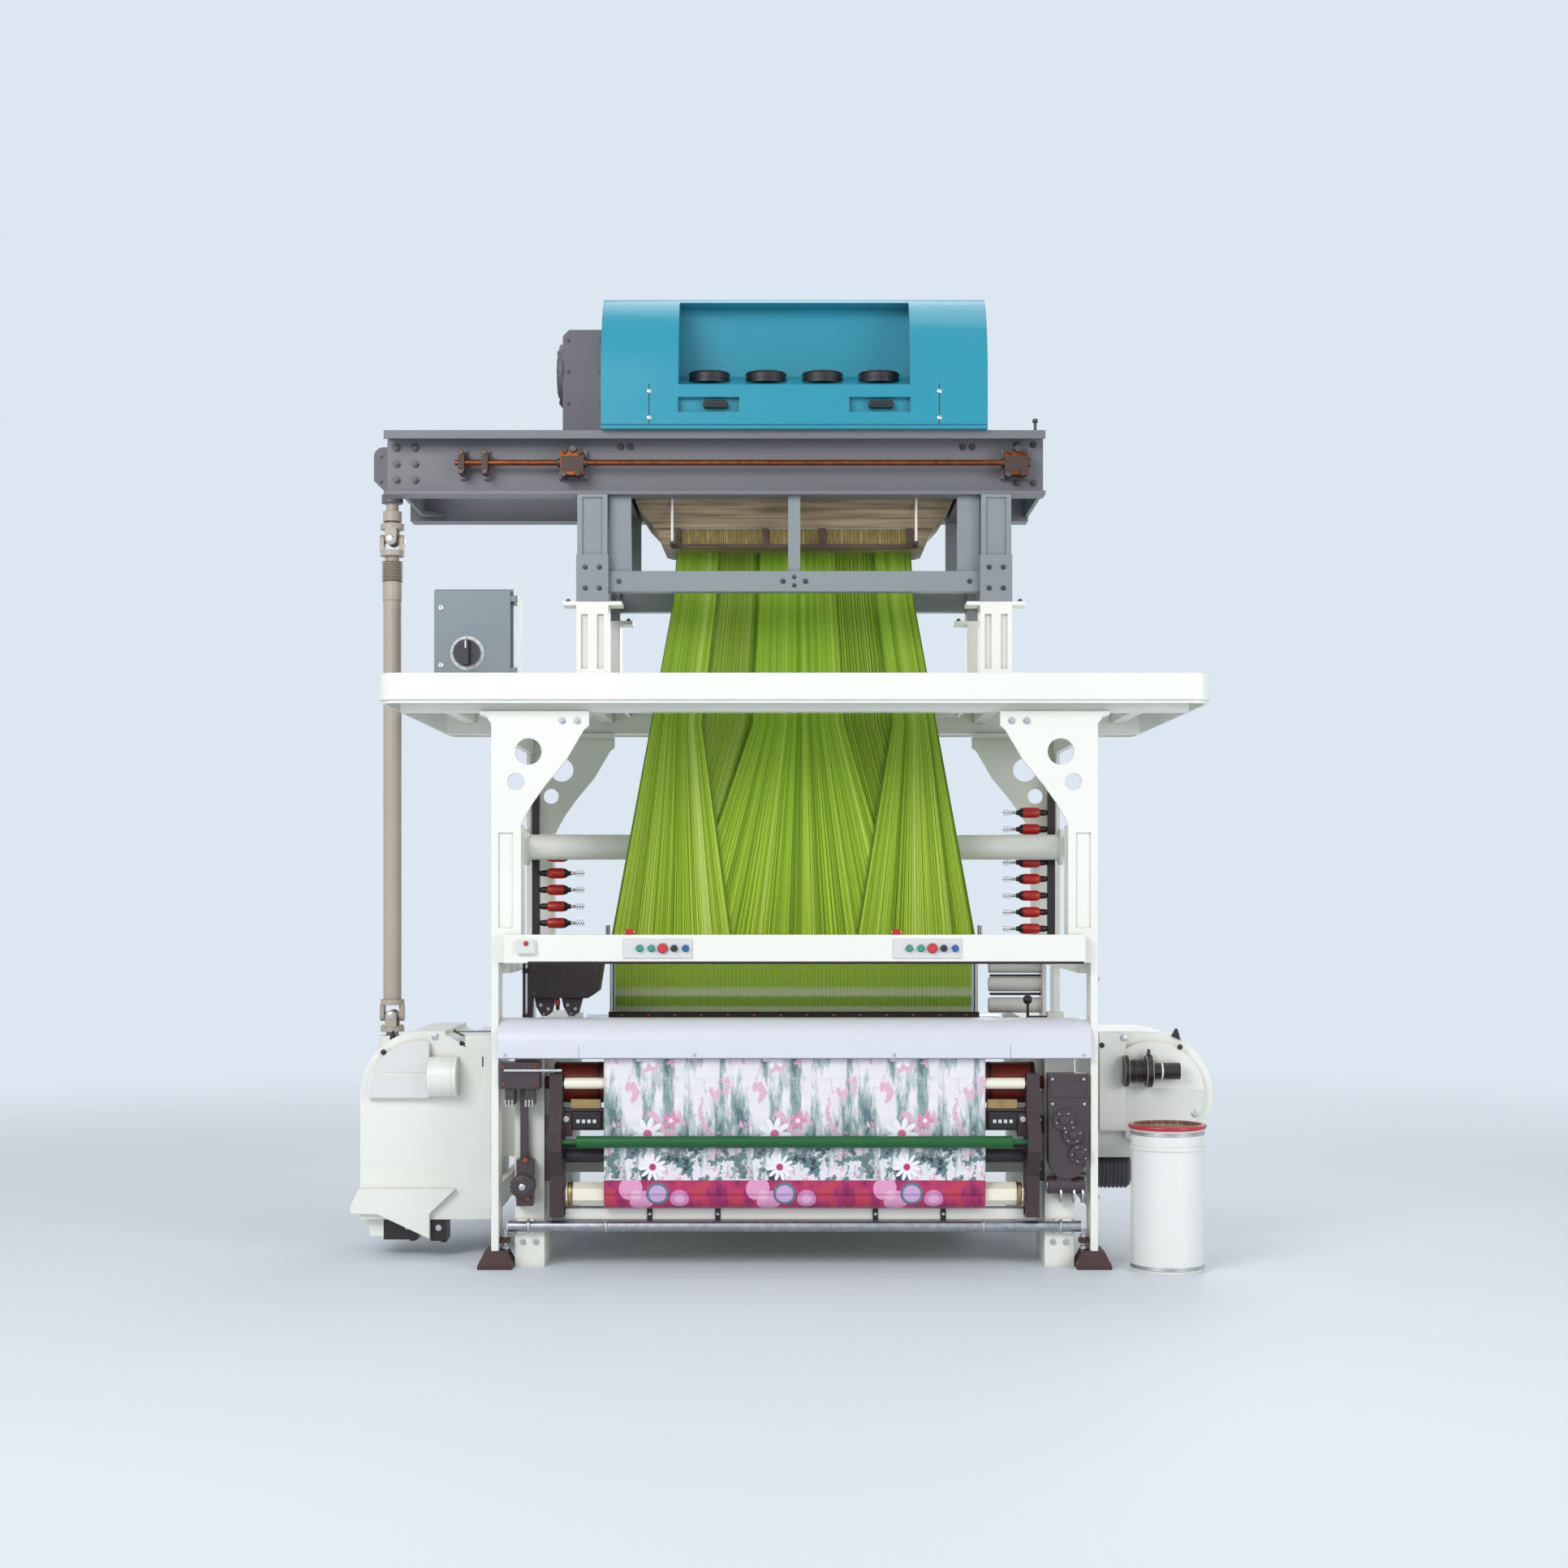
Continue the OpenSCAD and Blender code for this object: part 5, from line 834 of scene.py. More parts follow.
def banded(name, bands):
    """Colour by height: (z, colour) steps from below."""
    finish, tree, shader, place = new_finish(name, 0.6)
    upright = new_node(tree, "ShaderNodeSeparateXYZ")
    knit(tree, (place, "Object"), (upright, "Vector"))
    ramp = shades(tree, (upright, "Z"), bands)
    ramp.color_ramp.interpolation = "LINEAR"
    fuzz = mottle(tree, place, 260, 3)
    mixing = new_node(tree, "ShaderNodeMix", {0: 0.55}, data_type="RGBA", blend_type="MULTIPLY")
    knit(tree, (ramp, "Color"), (mixing, 6))
    knit(tree, (fuzz, "Color"), (mixing, 7))
    knit(tree, (mixing, 2), (shader, "Base Color"))
    relief(tree, shader, (fuzz, "Fac"), 0.2, 0.0003)
    return finish


heddle_cord = banded("heddle_cord", [
    (0.0, linear(170, 176, 160)), (0.745, linear(200, 212, 170)), (0.764, linear(214, 226, 180)),
    (0.772, linear(150, 188, 60)), (0.797, linear(158, 196, 62)), (0.806, linear(222, 232, 190)),
    (0.824, linear(214, 228, 160)), (0.836, linear(178, 214, 64)), (1.0, linear(192, 224, 80))])
heddle_first, heddle_pitch, heddle_count = -0.578, 0.0034, 340
for bank, bank_y in (("heddles_front", -0.005), ("heddles_rear", 0.085)):
    paths = [[(heddle_first + heddle_pitch * k + beside, bank_y + off, z) for z in (0.992, 0.720)]
             for off, beside in ((-0.0064, 0.0), (0.0064, heddle_pitch / 2))
             for k in range(heddle_count)]
    wires(bank + "_cords", paths, 0.0014, heddle_cord, bank, sides=4)
# Selvedge cords in blue and sand close each end of the front bank.
selvedge_blue = painted("selvedge_blue", linear(20, 96, 130), 0.6, peel=0.5)
selvedge_sand = painted("selvedge_sand", linear(222, 214, 196), 0.6, peel=0.5)
selvedge_pitch, selvedge_y = 0.0022, -0.0125
for bank_side, side_name in ((-1, "left"), (1, "right")):
    for kind, first_x, yarn in (("cords", 0.583, selvedge_blue), ("tapes", 0.591, selvedge_sand)):
        wires("selvedge_%s_%s" % (kind, side_name),
              [[(bank_side * (first_x + selvedge_pitch * k), selvedge_y, z)
                for z in (0.988, 0.742)] for k in range(3)],
              0.0012, yarn, "heddles_front", sides=5)

# Reed and sley: a steel reed seated in a beam on four rocking swords. Fine dents stand between
# the rails, and a black batten with small red rivets guards the top rail.
sley_grey = painted("sley_grey", linear(96, 98, 102), 0.4, peel=0.3)
dress(sley_grey, "sley")
dress(steel, "reed")
reed_y = -0.068
dent_first, dent_pitch, dent_count = -0.588, 0.0048, 246
dents = [[(dent_first + dent_pitch * k, reed_y, z) for z in (0.668, 0.737)]
         for k in range(dent_count)]
wires("reed_dents", dents, 0.0007, steel, "sley", sides=4)
batten_black = painted("batten_black", linear(34, 22, 22), 0.4, peel=0.3)
signal_red = painted("signal_red", linear(190, 30, 18), 0.35, peel=0.2, coat=0.3)
batten = Workpiece()
batten.block((-0.5955, reed_y - 0.0125, 0.7315), (0.5955, reed_y - 0.0092, 0.7530), 0)
batten.block((-0.5955, reed_y - 0.0125, 0.7512), (0.5955, reed_y + 0.0115, 0.7535), 0)
rivet_first, rivet_pitch, rivet_count = -0.5525, 0.085, 14
for k in range(rivet_count):
    rivet_x = rivet_first + rivet_pitch * k
    batten.stud(rivet_x, 0.742, reed_y - 0.0120, reed_y - 0.0142, 0.0042, 0.0026, 0.6, 1, 12)
batten.finish("reed_batten", "sley", "steel", [batten_black, signal_red], 0.0006)
bolts("sword_bolts", [(x, -0.0905, 0.622) for x in (-0.480, -0.160, 0.160, 0.480)],
      (0, -1, 0), 0.008, 0.007, zinc, body="sley")

# Button bar: white box rail across the front with two grey panels, a black edge strip below and
# a small switch box on the left. Its two red stops stand on top.
dress(white_enamel, "button_bar")
panel_grey = painted("panel_grey", linear(222, 224, 224), 0.32, peel=0.15, coat=0.2)
bar_front, bar_low, bar_high = -0.575, 0.925, 1.010
left_first, right_first, button_pitch, button_z = -0.464, 0.344, 0.0343, 0.9695
trim = Workpiece()
for first in (left_first, right_first):
    trim.block((first - 0.0490, bar_front - 0.0037, bar_low + 0.015),
               (first + 0.1570, bar_front - 0.0029, bar_high - 0.013), 0)
trim.block((-0.800, bar_front - 0.0012, bar_low - 0.0025),
           (0.868, bar_front + 0.012, bar_low + 0.0050), 1)
trim.block((-0.8300, bar_front - 0.0150, 0.9555), (-0.7780, bar_front - 0.0138, 0.9925), 0)
trim.stud(-0.8040, 0.984, bar_front - 0.0148, bar_front - 0.0195, 0.0075, 0.005, 0.5, 2, 20)
for stop_x in (-0.496, 0.305):
    half_stop = ((0.0150, 1.0102), (0.0120, 1.0215), (0.017, 1.0265))
    trim.plate([(stop_x - dx, z) for dx, z in half_stop]
               + [(stop_x + dx, z) for dx, z in reversed(half_stop)],
               bar_front + 0.0075, bar_front + 0.0245, 2)
trim.finish("button_bar_trim", "root", "white_paint", [panel_grey, batten_black, signal_red],
            0.0006)
bezel_r, stop_bezel_r = 0.0112, 0.0158
bezels = [ring_path((first + button_pitch * k, bar_front - 0.0038, button_z),
                    stop_bezel_r if k == 2 else bezel_r, 28, "Y")
          for first in (left_first, right_first) for k in range(5)]
wires("button_bezels", bezels, 0.0011, zinc, loops=True, sides=6)

# Push buttons: moulded plastic caps with a slight sheen, two green, one large red stop, one
# black and one blue in each panel.


def moulded(name, colour):
    """Smooth moulded plastic with softly rounded edges."""
    return painted(name, colour, 0.32, peel=0.06, reach=0.004, coat=0.4, speckle=0.03,
                   round_edge=0.0012)


button_green = moulded("button_green", linear(42, 158, 132))
button_red = moulded("button_red", linear(214, 44, 52))
button_black = moulded("button_black", linear(36, 36, 40))
button_blue = moulded("button_blue", linear(22, 98, 176))
for side in ("left", "right"):
    dress(button_green, "button_%s_1" % side, "button_%s_2" % side)
    dress(button_red, "button_%s_stop" % side)
    dress(button_black, "button_%s_4" % side)
    dress(button_blue, "button_%s_5" % side)

# Thread tensioners: two black posts behind the columns, with red sprung caps, black collars and
# pairs of bright discs between which the weft runs.
chrome = metal("chromed", (0.72, 0.72, 0.74), 0.12, flecks=30, dull=0.05)
post_in, post_out, rail_out = 0.850, 0.875, 0.907
rack_y, rail_top, rack_pitch = 0.231, 0.960, 0.0555
disc_shape = [(0, 0.0055), (0.3, 0.0108), (0.7, 0.0116), (1, 0.0116), (1.15, 0.006)]
pin_parts = [
    # from and to along the pin, profile, finish, sides
    (post_in, 0.826, [(0, 0.008), (0.5, 0.011), (1, 0.011)], 1, 20),
    (0.828, 0.768, [(0, 0.009), (0.10, 0.0155), (0.30, 0.018), (0.92, 0.018), (1, 0.0165)], 0, 28),
    (0.7685, 0.758, [(0, 0.0165), (0.3, 0.0165), (0.35, 0.015), (0.7, 0.015), (1, 0.013)], 1, 28),
    (0.758, 0.746, [(0, 0.010), (0.4, 0.010), (0.5, 0.007), (1, 0.009)], 1, 20)]
pin_parts += [(disc_x, disc_x - 0.0034, disc_shape, 2, 24) for disc_x in (0.726, 0.717, 0.708)]
pin_parts += [(0.746, 0.728, [(0, 0.0045), (0.5, 0.006), (1, 0.0045)], 2, 14)]
racks = Workpiece()
for rack_side, count, lift in ((-1, 5, 0.075), (1, 8, 0.056)):
    for out_x, low, high in ((post_out, rail_top + 0.010, 1.480),
                             (rail_out, rail_top, rail_top + 0.014)):
        x0, x1 = sorted((rack_side * post_in, rack_side * out_x))
        racks.block((x0, rack_y, low), (x1, rack_y + 0.030, high), 1)
    for k in range(count):
        pin_axis = (rack_y + 0.015, rail_top + lift + rack_pitch * k)
        racks.rod((rack_side * 0.700, *pin_axis), (rack_side * (post_in + 0.001), *pin_axis),
                  0.003, 2, 10)
        for x0, x1, shape, mark, sides in pin_parts:
            racks.turned((rack_side * x0, *pin_axis), (rack_side * x1, *pin_axis), shape, mark,
                         sides)
rack_piece = racks.finish("tensioners", "root", "red_plastic",
                          [signal_red, batten_black, chrome], 0.0)
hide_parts("tensioner_racks")

# Weft selector: dark moulded case on a bright leg, with two tapered grey finger heads below it
# and a screwed lid.
case_dark = painted("case_dark", linear(48, 32, 34), 0.36, peel=0.35, speckle=0.15,
                    round_edge=0.004)
finger_grey = painted("finger_grey", linear(96, 86, 94), 0.42, peel=0.6, speckle=0.3)
dress(case_dark, "weft_selector")
dress(finger_grey, "weft_finger_1", "weft_finger_2")
lid_screws = ((-0.815, 0.822), (-0.815, 0.900), (-0.622, 0.900), (-0.664, 0.822),
              (-0.718, 0.900))
lid_face_y = -0.2702
bolts("selector_screws", [(x, lid_face_y, z) for x, z in lid_screws],
      (0, -1, 0), 0.004, 0.003, black_bolt)
leg = Workpiece()
for x, y, low, high, r, mark, sides in (
        (-0.838, -0.262, 0.722, 0.914, 0.0085, 0, 20),
        (-0.7425, -0.245, 0.768, 0.806, 0.0060, 1, 14),
        (-0.7425, -0.245, 0.782, 0.800, 0.0078, 2, 14)):
    leg.rod((x, y, low), (x, y, high), r, mark, sides)
for low, high in ((0.884, 0.900), (0.742, 0.756)):
    leg.block((-0.851, -0.272, low), (-0.826, -0.250, high), 1)
leg.finish("selector_leg", "root", "steel", [chrome, batten_black, signal_red], 0.0008)
for finger, finger_x in (("weft_finger_1", -0.785), ("weft_finger_2", -0.700)):
    bolts(finger + "_screws",
          [(finger_x - 0.012, -0.2362, 0.783), (finger_x + 0.012, -0.2362, 0.771)],
          (0, -1, 0), 0.004, 0.003, zinc, body=finger)
    guide = Workpiece()
    guide.stud(finger_x - 0.002, 0.756, -0.236, -0.243, 0.006, 0.004)
    guide.finish(finger + "_eye", finger, "steel", [chrome])

# Hand lever: black ball knob on a short bright arm beside three pale guard tubes that close the
# right-hand end of the shed.
dress(button_black, "hand_lever")
guard_tube = painted("guard_tube", linear(206, 204, 200), 0.34, peel=0.2, coat=0.1)
guards = Workpiece()
guard_y, guard_in, guard_out = 0.040, 0.634, 0.812
for tube_z, tube_r in ((0.893, 0.018), (0.838, 0.0235), (0.770, 0.025)):
    guards.rod((guard_in, guard_y, tube_z), (guard_out, guard_y, tube_z), tube_r, 0, 36)
guards.block((0.806, -0.010, 0.718), (0.818, 0.090, 0.916), 0)
for tube_z in (0.866, 0.806):
    guards.block((0.640, 0.044, tube_z - 0.004), (0.806, 0.060, tube_z + 0.004), 1)
guards.finish("guard_tubes", "root", "white_paint", [guard_tube, clamp_brown], 0.0012)

# Side frames: white castings with ribbed pockets. Hexagon bolts hold the cross bars, and bearing
# caps sit over the roller ends.
dress(white_cast, "loom_frame_left", "loom_frame_right")
bolts("frame_front_bolts",
      [(s * x, -0.4802, z) for s in (-1, 1) for x in (0.785, 0.825) for z in (0.655, 0.075)],
      (0, -1, 0), 0.007, 0.006, zinc)
warp_y, warp_z, back_y, back_z = 0.640, 0.330, 0.820, 0.644
frame_face_x, bearing_bolt_r = 0.850, 0.040
caps = Workpiece()
for frame_side, side_name in ((-1, "left"), (1, "right")):
    bolts("bearing_bolts_%s" % side_name,
          [(frame_side * (frame_face_x + 0.0002), y + bearing_bolt_r * math.cos(a),
            z + bearing_bolt_r * math.sin(a))
           for y, z in ((warp_y, warp_z), (back_y, back_z)) for a in (0.6, 2.54, 3.74, 5.68)],
          (frame_side, 0, 0), 0.006, 0.005, zinc)
    for y, z, r in ((warp_y, warp_z, 0.054), (back_y, back_z, 0.050)):
        caps.turned((frame_side * frame_face_x, y, z), (frame_side * 0.8545, y, z),
                    [(0, r), (0.8, r), (1, r - 0.004), (1, 0.031)], 0, 40)
caps.finish("bearing_rings", "root", "white_paint", [white_cast])

# Cross bars: breast beam, spring beam and ties between the side frames, and the foot pipe in its
# grey sleeve with end collars.
dress(white_cast, "cross_bars")
pipe_grey = metal("pipe_grey", (0.44, 0.45, 0.47), 0.32, dull=0.2)
pipe_y, pipe_z = -0.496, 0.125
pipe = Workpiece()
pipe.rod((-0.8700, pipe_y, pipe_z), (0.8700, pipe_y, pipe_z), 0.0166, 0, 28)
for pipe_side in (-1, 1):
    for x0, x1, r in ((0.800, 0.812, 0.022), (0.566, 0.578, 0.020)):
        pipe.rod((pipe_side * x0, pipe_y, pipe_z), (pipe_side * x1, pipe_y, pipe_z), r, 1, 24)
pipe.finish("foot_pipe_sleeve", "root", "steel", [pipe_grey, zinc])

# Cloth cradle: dark cast arms with a white tray beam, a counter rail with two dark counters and
# brass-coloured blocks on it.
iron_paint = painted("iron_paint", linear(66, 50, 52), 0.42, peel=0.5, speckle=0.3)
brass_block = metal("brass_block", linear(176, 150, 104), 0.34, dull=0.2)
dress(iron_paint, "cloth_cradle")
arm_face_x = 0.7402
cradle = Workpiece()
for back, low, high in ((-0.4300, 0.1430, 0.1600), (-0.4718, 0.1595, 0.1778),
                        (-0.4300, 0.1758, 0.1778)):
    cradle.block((-0.697, -0.4760, low), (0.697, back, high), 0)
for clamp_x in (-0.440, -0.233, 0.246, 0.452):
    cradle.block((clamp_x - 0.008, -0.4800, 0.1400), (clamp_x + 0.008, -0.4740, 0.1790), 1)
    cradle.rod((clamp_x, -0.4860, 0.160), (clamp_x, -0.4790, 0.160), 0.005, 2, 6)
counter_in, counter_out, window_pitch = 0.586, 0.672, 0.0165
for counter_side in (-1, 1):
    x0, x1 = sorted((counter_side * counter_in, counter_side * counter_out))
    cradle.block((x0, -0.5240, 0.4240), (x1, -0.5120, 0.4740), 1)
    for k in range(4):
        window_x = x0 + 0.018 + window_pitch * k
        cradle.block((window_x - 0.005, -0.5252, 0.4400), (window_x + 0.005, -0.5238, 0.4510), 3)
    cradle.block((x0 - 0.004, -0.5225, 0.4845), (x1, -0.4950, 0.5120), 4)
    cradle.rod((counter_side * 0.690, -0.5300, 0.452), (counter_side * 0.690, -0.5120, 0.452),
               0.010, 2, 20)
    for z in (0.324, 0.466):
        cradle.rod((counter_side * 0.720, -0.4700, z), (counter_side * 0.720, -0.4790, z),
                   0.007, 2, 6)
cradle.finish("cradle_fittings", "root", "dark_iron",
              [white_enamel, black_moulding, zinc, panel_grey, brass_block], 0.0008)
bolts("cradle_arm_bolts",
      [(s * arm_face_x, y, z) for s in (-1, 1)
       for y, z in ((-0.490, 0.205), (-0.505, 0.300), (-0.520, 0.450), (-0.505, 0.540))],
      (1, 0, 0), 0.005, 0.004, zinc)

# Breast cover: one bent sheet enamelled in lilac white, glossy, with folded ends and two butt
# seams. Four small screws hold it.
breast_lilac = painted("breast_lilac", linear(222, 223, 234), 0.30, peel=0.05, coat=0.2,
                       speckle=0.02, reach=0.02)
dress(breast_lilac, "breast_cover")
seam_dark = painted("seam_dark", linear(120, 120, 130), 0.5)
seam = Workpiece()
for seam_x in (-0.649, 0.649):
    seam.block((seam_x - 0.0006, -0.5603, 0.640), (seam_x + 0.0006, -0.5596, 0.676), 0)
seam.block((-0.8920, -0.5604, 0.6366), (0.8920, -0.5560, 0.6392), 0)
seam.finish("breast_cover_seams", "root", "lilac_paint", [seam_dark])
cover_face_y = -0.5602
bolts("breast_cover_screws", [(x, cover_face_y, 0.648) for x in (-0.870, -0.300, 0.300, 0.870)],
      (0, -1, 0), 0.004, 0.002, zinc)

# Rollers: maroon rubber take-up roller, cream press sleeve, green spreader, black guide and the
# six-sided cream tube on which the cloth is wound.
maroon = painted("maroon_rubber", linear(120, 30, 18), 0.5, peel=0.6, coat=0.0, speckle=0.25)
cream = painted("cream_sleeve", linear(247, 243, 222), 0.34, peel=0.1, coat=0.25)
green_bar = painted("green_bar", linear(0, 92, 36), 0.4, peel=0.3, coat=0.1, speckle=0.15)
rubber_black = painted("rubber_black", linear(34, 30, 34), 0.5, peel=0.4)
dress(maroon, "take_up_roller")
dress(cream, "press_roller", "cloth_roller")
dress(green_bar, "spreader_roller")
dress(rubber_black, "guide_roller")
dress(steel, "backrest_roller")
take_up_y, take_up_z = -0.435, 0.557
collar_shape = [(0, 0.0622), (0.15, 0.0632), (0.85, 0.0632), (1, 0.0622)]
collars = Workpiece()
for roller_side in (-1, 1):
    for x0, x1 in ((0.590, 0.600), (0.716, 0.728)):
        collars.turned((roller_side * x0, take_up_y, take_up_z),
                       (roller_side * x1, take_up_y, take_up_z), collar_shape, 0, 40)
collars.finish("take_up_collars", "take_up_roller", "steel", [black_moulding])
roll_y, roll_z = -0.490, 0.224
tube_ends = Workpiece()
for roller_side in (-1, 1):
    tube_ends.turned((roller_side * 0.672, roll_y, roll_z), (roller_side * 0.686, roll_y, roll_z),
                     [(0, 0.0352), (0.2, 0.0385), (0.8, 0.0385), (1, 0.0352)], 0, 36)
    for u, v in around(6, math.radians(30)):
        corner = (roll_y + 0.0312 * u, roll_z + 0.0312 * v)
        tube_ends.rod((roller_side * 0.578, *corner), (roller_side * 0.671, *corner), 0.0022, 1, 8)
tube_ends.finish("cloth_tube_collars", "cloth_roller", "steel", [brass_block, cream])

# Cloth: figured narrow-width satin over the breast beam, down in front of the take-up and onto
# its roll. The ornament is a plain repeat of petals and brushed stripes over a magenta border.
cloth_finish, cloth_tree, cloth_shader, _ = new_finish("figured_satin", 0.46)


def reckon(operation, *sources):
    """One Math node over sockets and plain numbers."""
    node = new_node(cloth_tree, "ShaderNodeMath", operation=operation)
    for i, source in enumerate(sources):
        if isinstance(source, tuple):
            knit(cloth_tree, source, (node, i))
        else:
            node.inputs[i].default_value = source
    return (node, 0)


def veil(under, colour, mask):
    """Lays a colour over another through a mask."""
    mixing = new_node(cloth_tree, "ShaderNodeMix", {7: (*colour, 1)}, data_type="RGBA")
    knit(cloth_tree, mask, (mixing, 0))
    knit(cloth_tree, under, (mixing, 6))
    return (mixing, 2)


def step_up(source, low, high):
    """Smooth step from low to high."""
    node = new_node(cloth_tree, "ShaderNodeMapRange", {"From Min": low, "From Max": high},
                    interpolation_type="SMOOTHSTEP")
    knit(cloth_tree, source, (node, "Value"))
    return (node, "Result")


cloth_uv = new_node(cloth_tree, "ShaderNodeUVMap", uv_map="width_and_length")
cloth_parts = new_node(cloth_tree, "ShaderNodeSeparateXYZ")
knit(cloth_tree, (cloth_uv, "UV"), (cloth_parts, "Vector"))
across, along = (cloth_parts, "X"), (cloth_parts, "Y")
repeat = 0.3833
turning = reckon("MULTIPLY", across, 2 * math.pi / repeat)
ring_u = reckon("MULTIPLY", reckon("COSINE", turning), repeat / 2 / math.pi)
ring_v = reckon("MULTIPLY", reckon("SINE", turning), repeat / 2 / math.pi)


def brushed(stretch, seed):
    """Noise that closes on itself after each repeat, drawn out along the cloth."""
    joined = new_node(cloth_tree, "ShaderNodeCombineXYZ")
    knit(cloth_tree, ring_u, (joined, "X"))
    knit(cloth_tree, ring_v, (joined, "Y"))
    knit(cloth_tree, reckon("MULTIPLY_ADD", along, stretch, seed), (joined, "Z"))
    noise = new_node(cloth_tree, "ShaderNodeTexNoise",
                     {"Scale": 26, "Detail": 5, "Roughness": 0.62})
    knit(cloth_tree, (joined, "Vector"), (noise, "Vector"))
    return (noise, "Fac")


long_brush, short_brush, blots = brushed(0.22, 0.4), brushed(0.55, 1.7), brushed(0.9, 3.1)
satin = shades(cloth_tree, blots, [(0.3, linear(232, 228, 236)), (0.7, linear(246, 241, 244))])
figure = (satin, "Color")
for colour, brush, low, high in (
        (linear(196, 206, 208), long_brush, 0.47, 0.53),
        (linear(142, 164, 162), long_brush, 0.54, 0.58),
        (linear(88, 122, 126), long_brush, 0.62, 0.65),
        (linear(228, 184, 206), short_brush, 0.57, 0.60)):
    figure = veil(figure, colour, step_up(brush, low, high))
lower_half = reckon("SUBTRACT", 1.0, step_up(along, 0.10, 0.24))
for colour, low, high in ((linear(98, 128, 132), 0.50, 0.54), (linear(46, 54, 74), 0.60, 0.63)):
    figure = veil(figure, colour, reckon("MULTIPLY", step_up(blots, low, high), lower_half))


def petals(under, at_u, at_v, reach, count, lean, leaf, heart, core_share=0.30):
    """A round of petals in one place of each repeat, with its heart."""
    du = reckon("SUBTRACT", reckon(
        "MODULO", reckon("ADD", across, 3 * repeat - at_u + repeat / 2), repeat), repeat / 2)
    dv = reckon("SUBTRACT", along, at_v)
    away = reckon("SQRT", reckon("ADD", reckon("MULTIPLY", du, du), reckon("MULTIPLY", dv, dv)))
    angle = reckon("ARCTAN2", dv, du)
    lobe = reckon("ABSOLUTE", reckon(
        "COSINE", reckon("MULTIPLY_ADD", angle, count / 2, lean)))
    edge = reckon("MULTIPLY", reckon("MULTIPLY_ADD", lobe, 0.62, 0.38), reach)
    inside = step_up(reckon("SUBTRACT", edge, away), 0.0, 0.003)
    core = step_up(reckon("SUBTRACT", reach * core_share, away), 0.0, 0.005)
    return veil(veil(under, leaf, inside), heart, core)


white_leaf, pink_leaf = linear(250, 247, 250), linear(224, 146, 186)
figure = petals(figure, -0.060, 0.185, 0.052, 9, 0.3, white_leaf, linear(214, 104, 156))
figure = petals(figure, -0.045, 0.085, 0.044, 11, 0.8, white_leaf, linear(190, 50, 112))
figure = petals(figure, 0.010, 0.225, 0.030, 5, 0.0, pink_leaf, white_leaf)
figure = petals(figure, 0.085, 0.145, 0.026, 5, 0.5, linear(70, 106, 112), pink_leaf)
figure = petals(figure, -0.060, 0.420, 0.040, 7, 0.3, white_leaf, pink_leaf)
border = reckon("SUBTRACT", 1.0, step_up(along, 0.0445, 0.0460))
magenta_ground = shades(cloth_tree, short_brush, [
    (0.36, linear(122, 26, 80)), (0.5, linear(178, 40, 104)), (0.62, linear(196, 58, 84))])
ovals = petals((magenta_ground, "Color"), -0.095, 0.000, 0.062, 2, 0.9, linear(232, 160, 202),
               linear(238, 186, 216))
ovals = petals(ovals, -0.030, 0.004, 0.036, 0, 0.0, linear(84, 122, 136), linear(206, 172, 216),
               0.80)
ovals = petals(ovals, 0.036, -0.012, 0.030, 0, 0.0, linear(216, 140, 190), linear(232, 176, 214),
               0.60)
bordering = new_node(cloth_tree, "ShaderNodeMix", data_type="RGBA")
knit(cloth_tree, border, (bordering, 0))
knit(cloth_tree, figure, (bordering, 6))
knit(cloth_tree, ovals, (bordering, 7))
# A grey tint in a narrow band along the crease, 0.352 m up the cloth: painted shade of the fold.
crease_shade_mask = step_up(reckon("ABSOLUTE", reckon(
    "SUBTRACT", along, 0.352)), 0.006, 0.0)
with_crease_shade = veil((bordering, 2), linear(206, 208, 216), reckon("MULTIPLY", crease_shade_mask, 0.30))
knit(cloth_tree, with_crease_shade, (cloth_shader, "Base Color"))
cloth_shader.inputs["Sheen Weight"].default_value = 0.3
cloth_shader.inputs["Sheen Roughness"].default_value = 0.35
thread_pitch = 0.0014
weave_u = reckon("SINE", reckon("MULTIPLY", across, 2 * math.pi / thread_pitch))
weave_v = reckon("SINE", reckon("MULTIPLY", along, 2 * math.pi / thread_pitch))
relief(cloth_tree, cloth_shader, reckon("MULTIPLY", weave_u, weave_v), 0.25, 0.0003)


def laid_sheet(name, path, half, columns, body, finish, thick, start=0.0, ripple=0.0):
    """A woven width along a path of (y, z) points, with its width and length kept as UV."""
    lengths = [start]
    for a, b in zip(path, path[1:]):
        lengths.append(lengths[-1] + math.dist(a, b))
    points, faces = [], []
    for (y, z), run in zip(path, lengths):
        for c in range(columns + 1):
            x = -half + 2 * half * c / columns
            bow = ripple * math.sin(x * 21 + run * 9) * math.sin(math.pi * min(1, run / 0.5))
            points.append((x, y + bow, z))
    for r in range(len(path) - 1):
        for c in range(columns):
            a = r * (columns + 1) + c
            faces.append((a, a + 1, a + columns + 2, a + columns + 1))
    mesh = bpy.data.meshes.new(name)
    mesh.from_pydata(points, [], faces)
    mesh.materials.append(finish)
    layer = mesh.uv_layers.new(name="width_and_length")
    for loop in mesh.loops:
        row, column = divmod(loop.vertex_index, columns + 1)
        layer.data[loop.index].uv = (-half + 2 * half * column / columns, lengths[row])
    piece = fit_piece(mesh, name, body, 0.0, 60)
    if thick:
        wall = piece.modifiers.new("cloth_thickness", "SOLIDIFY")
        wall.thickness = thick
        wall.offset = 0
    return piece


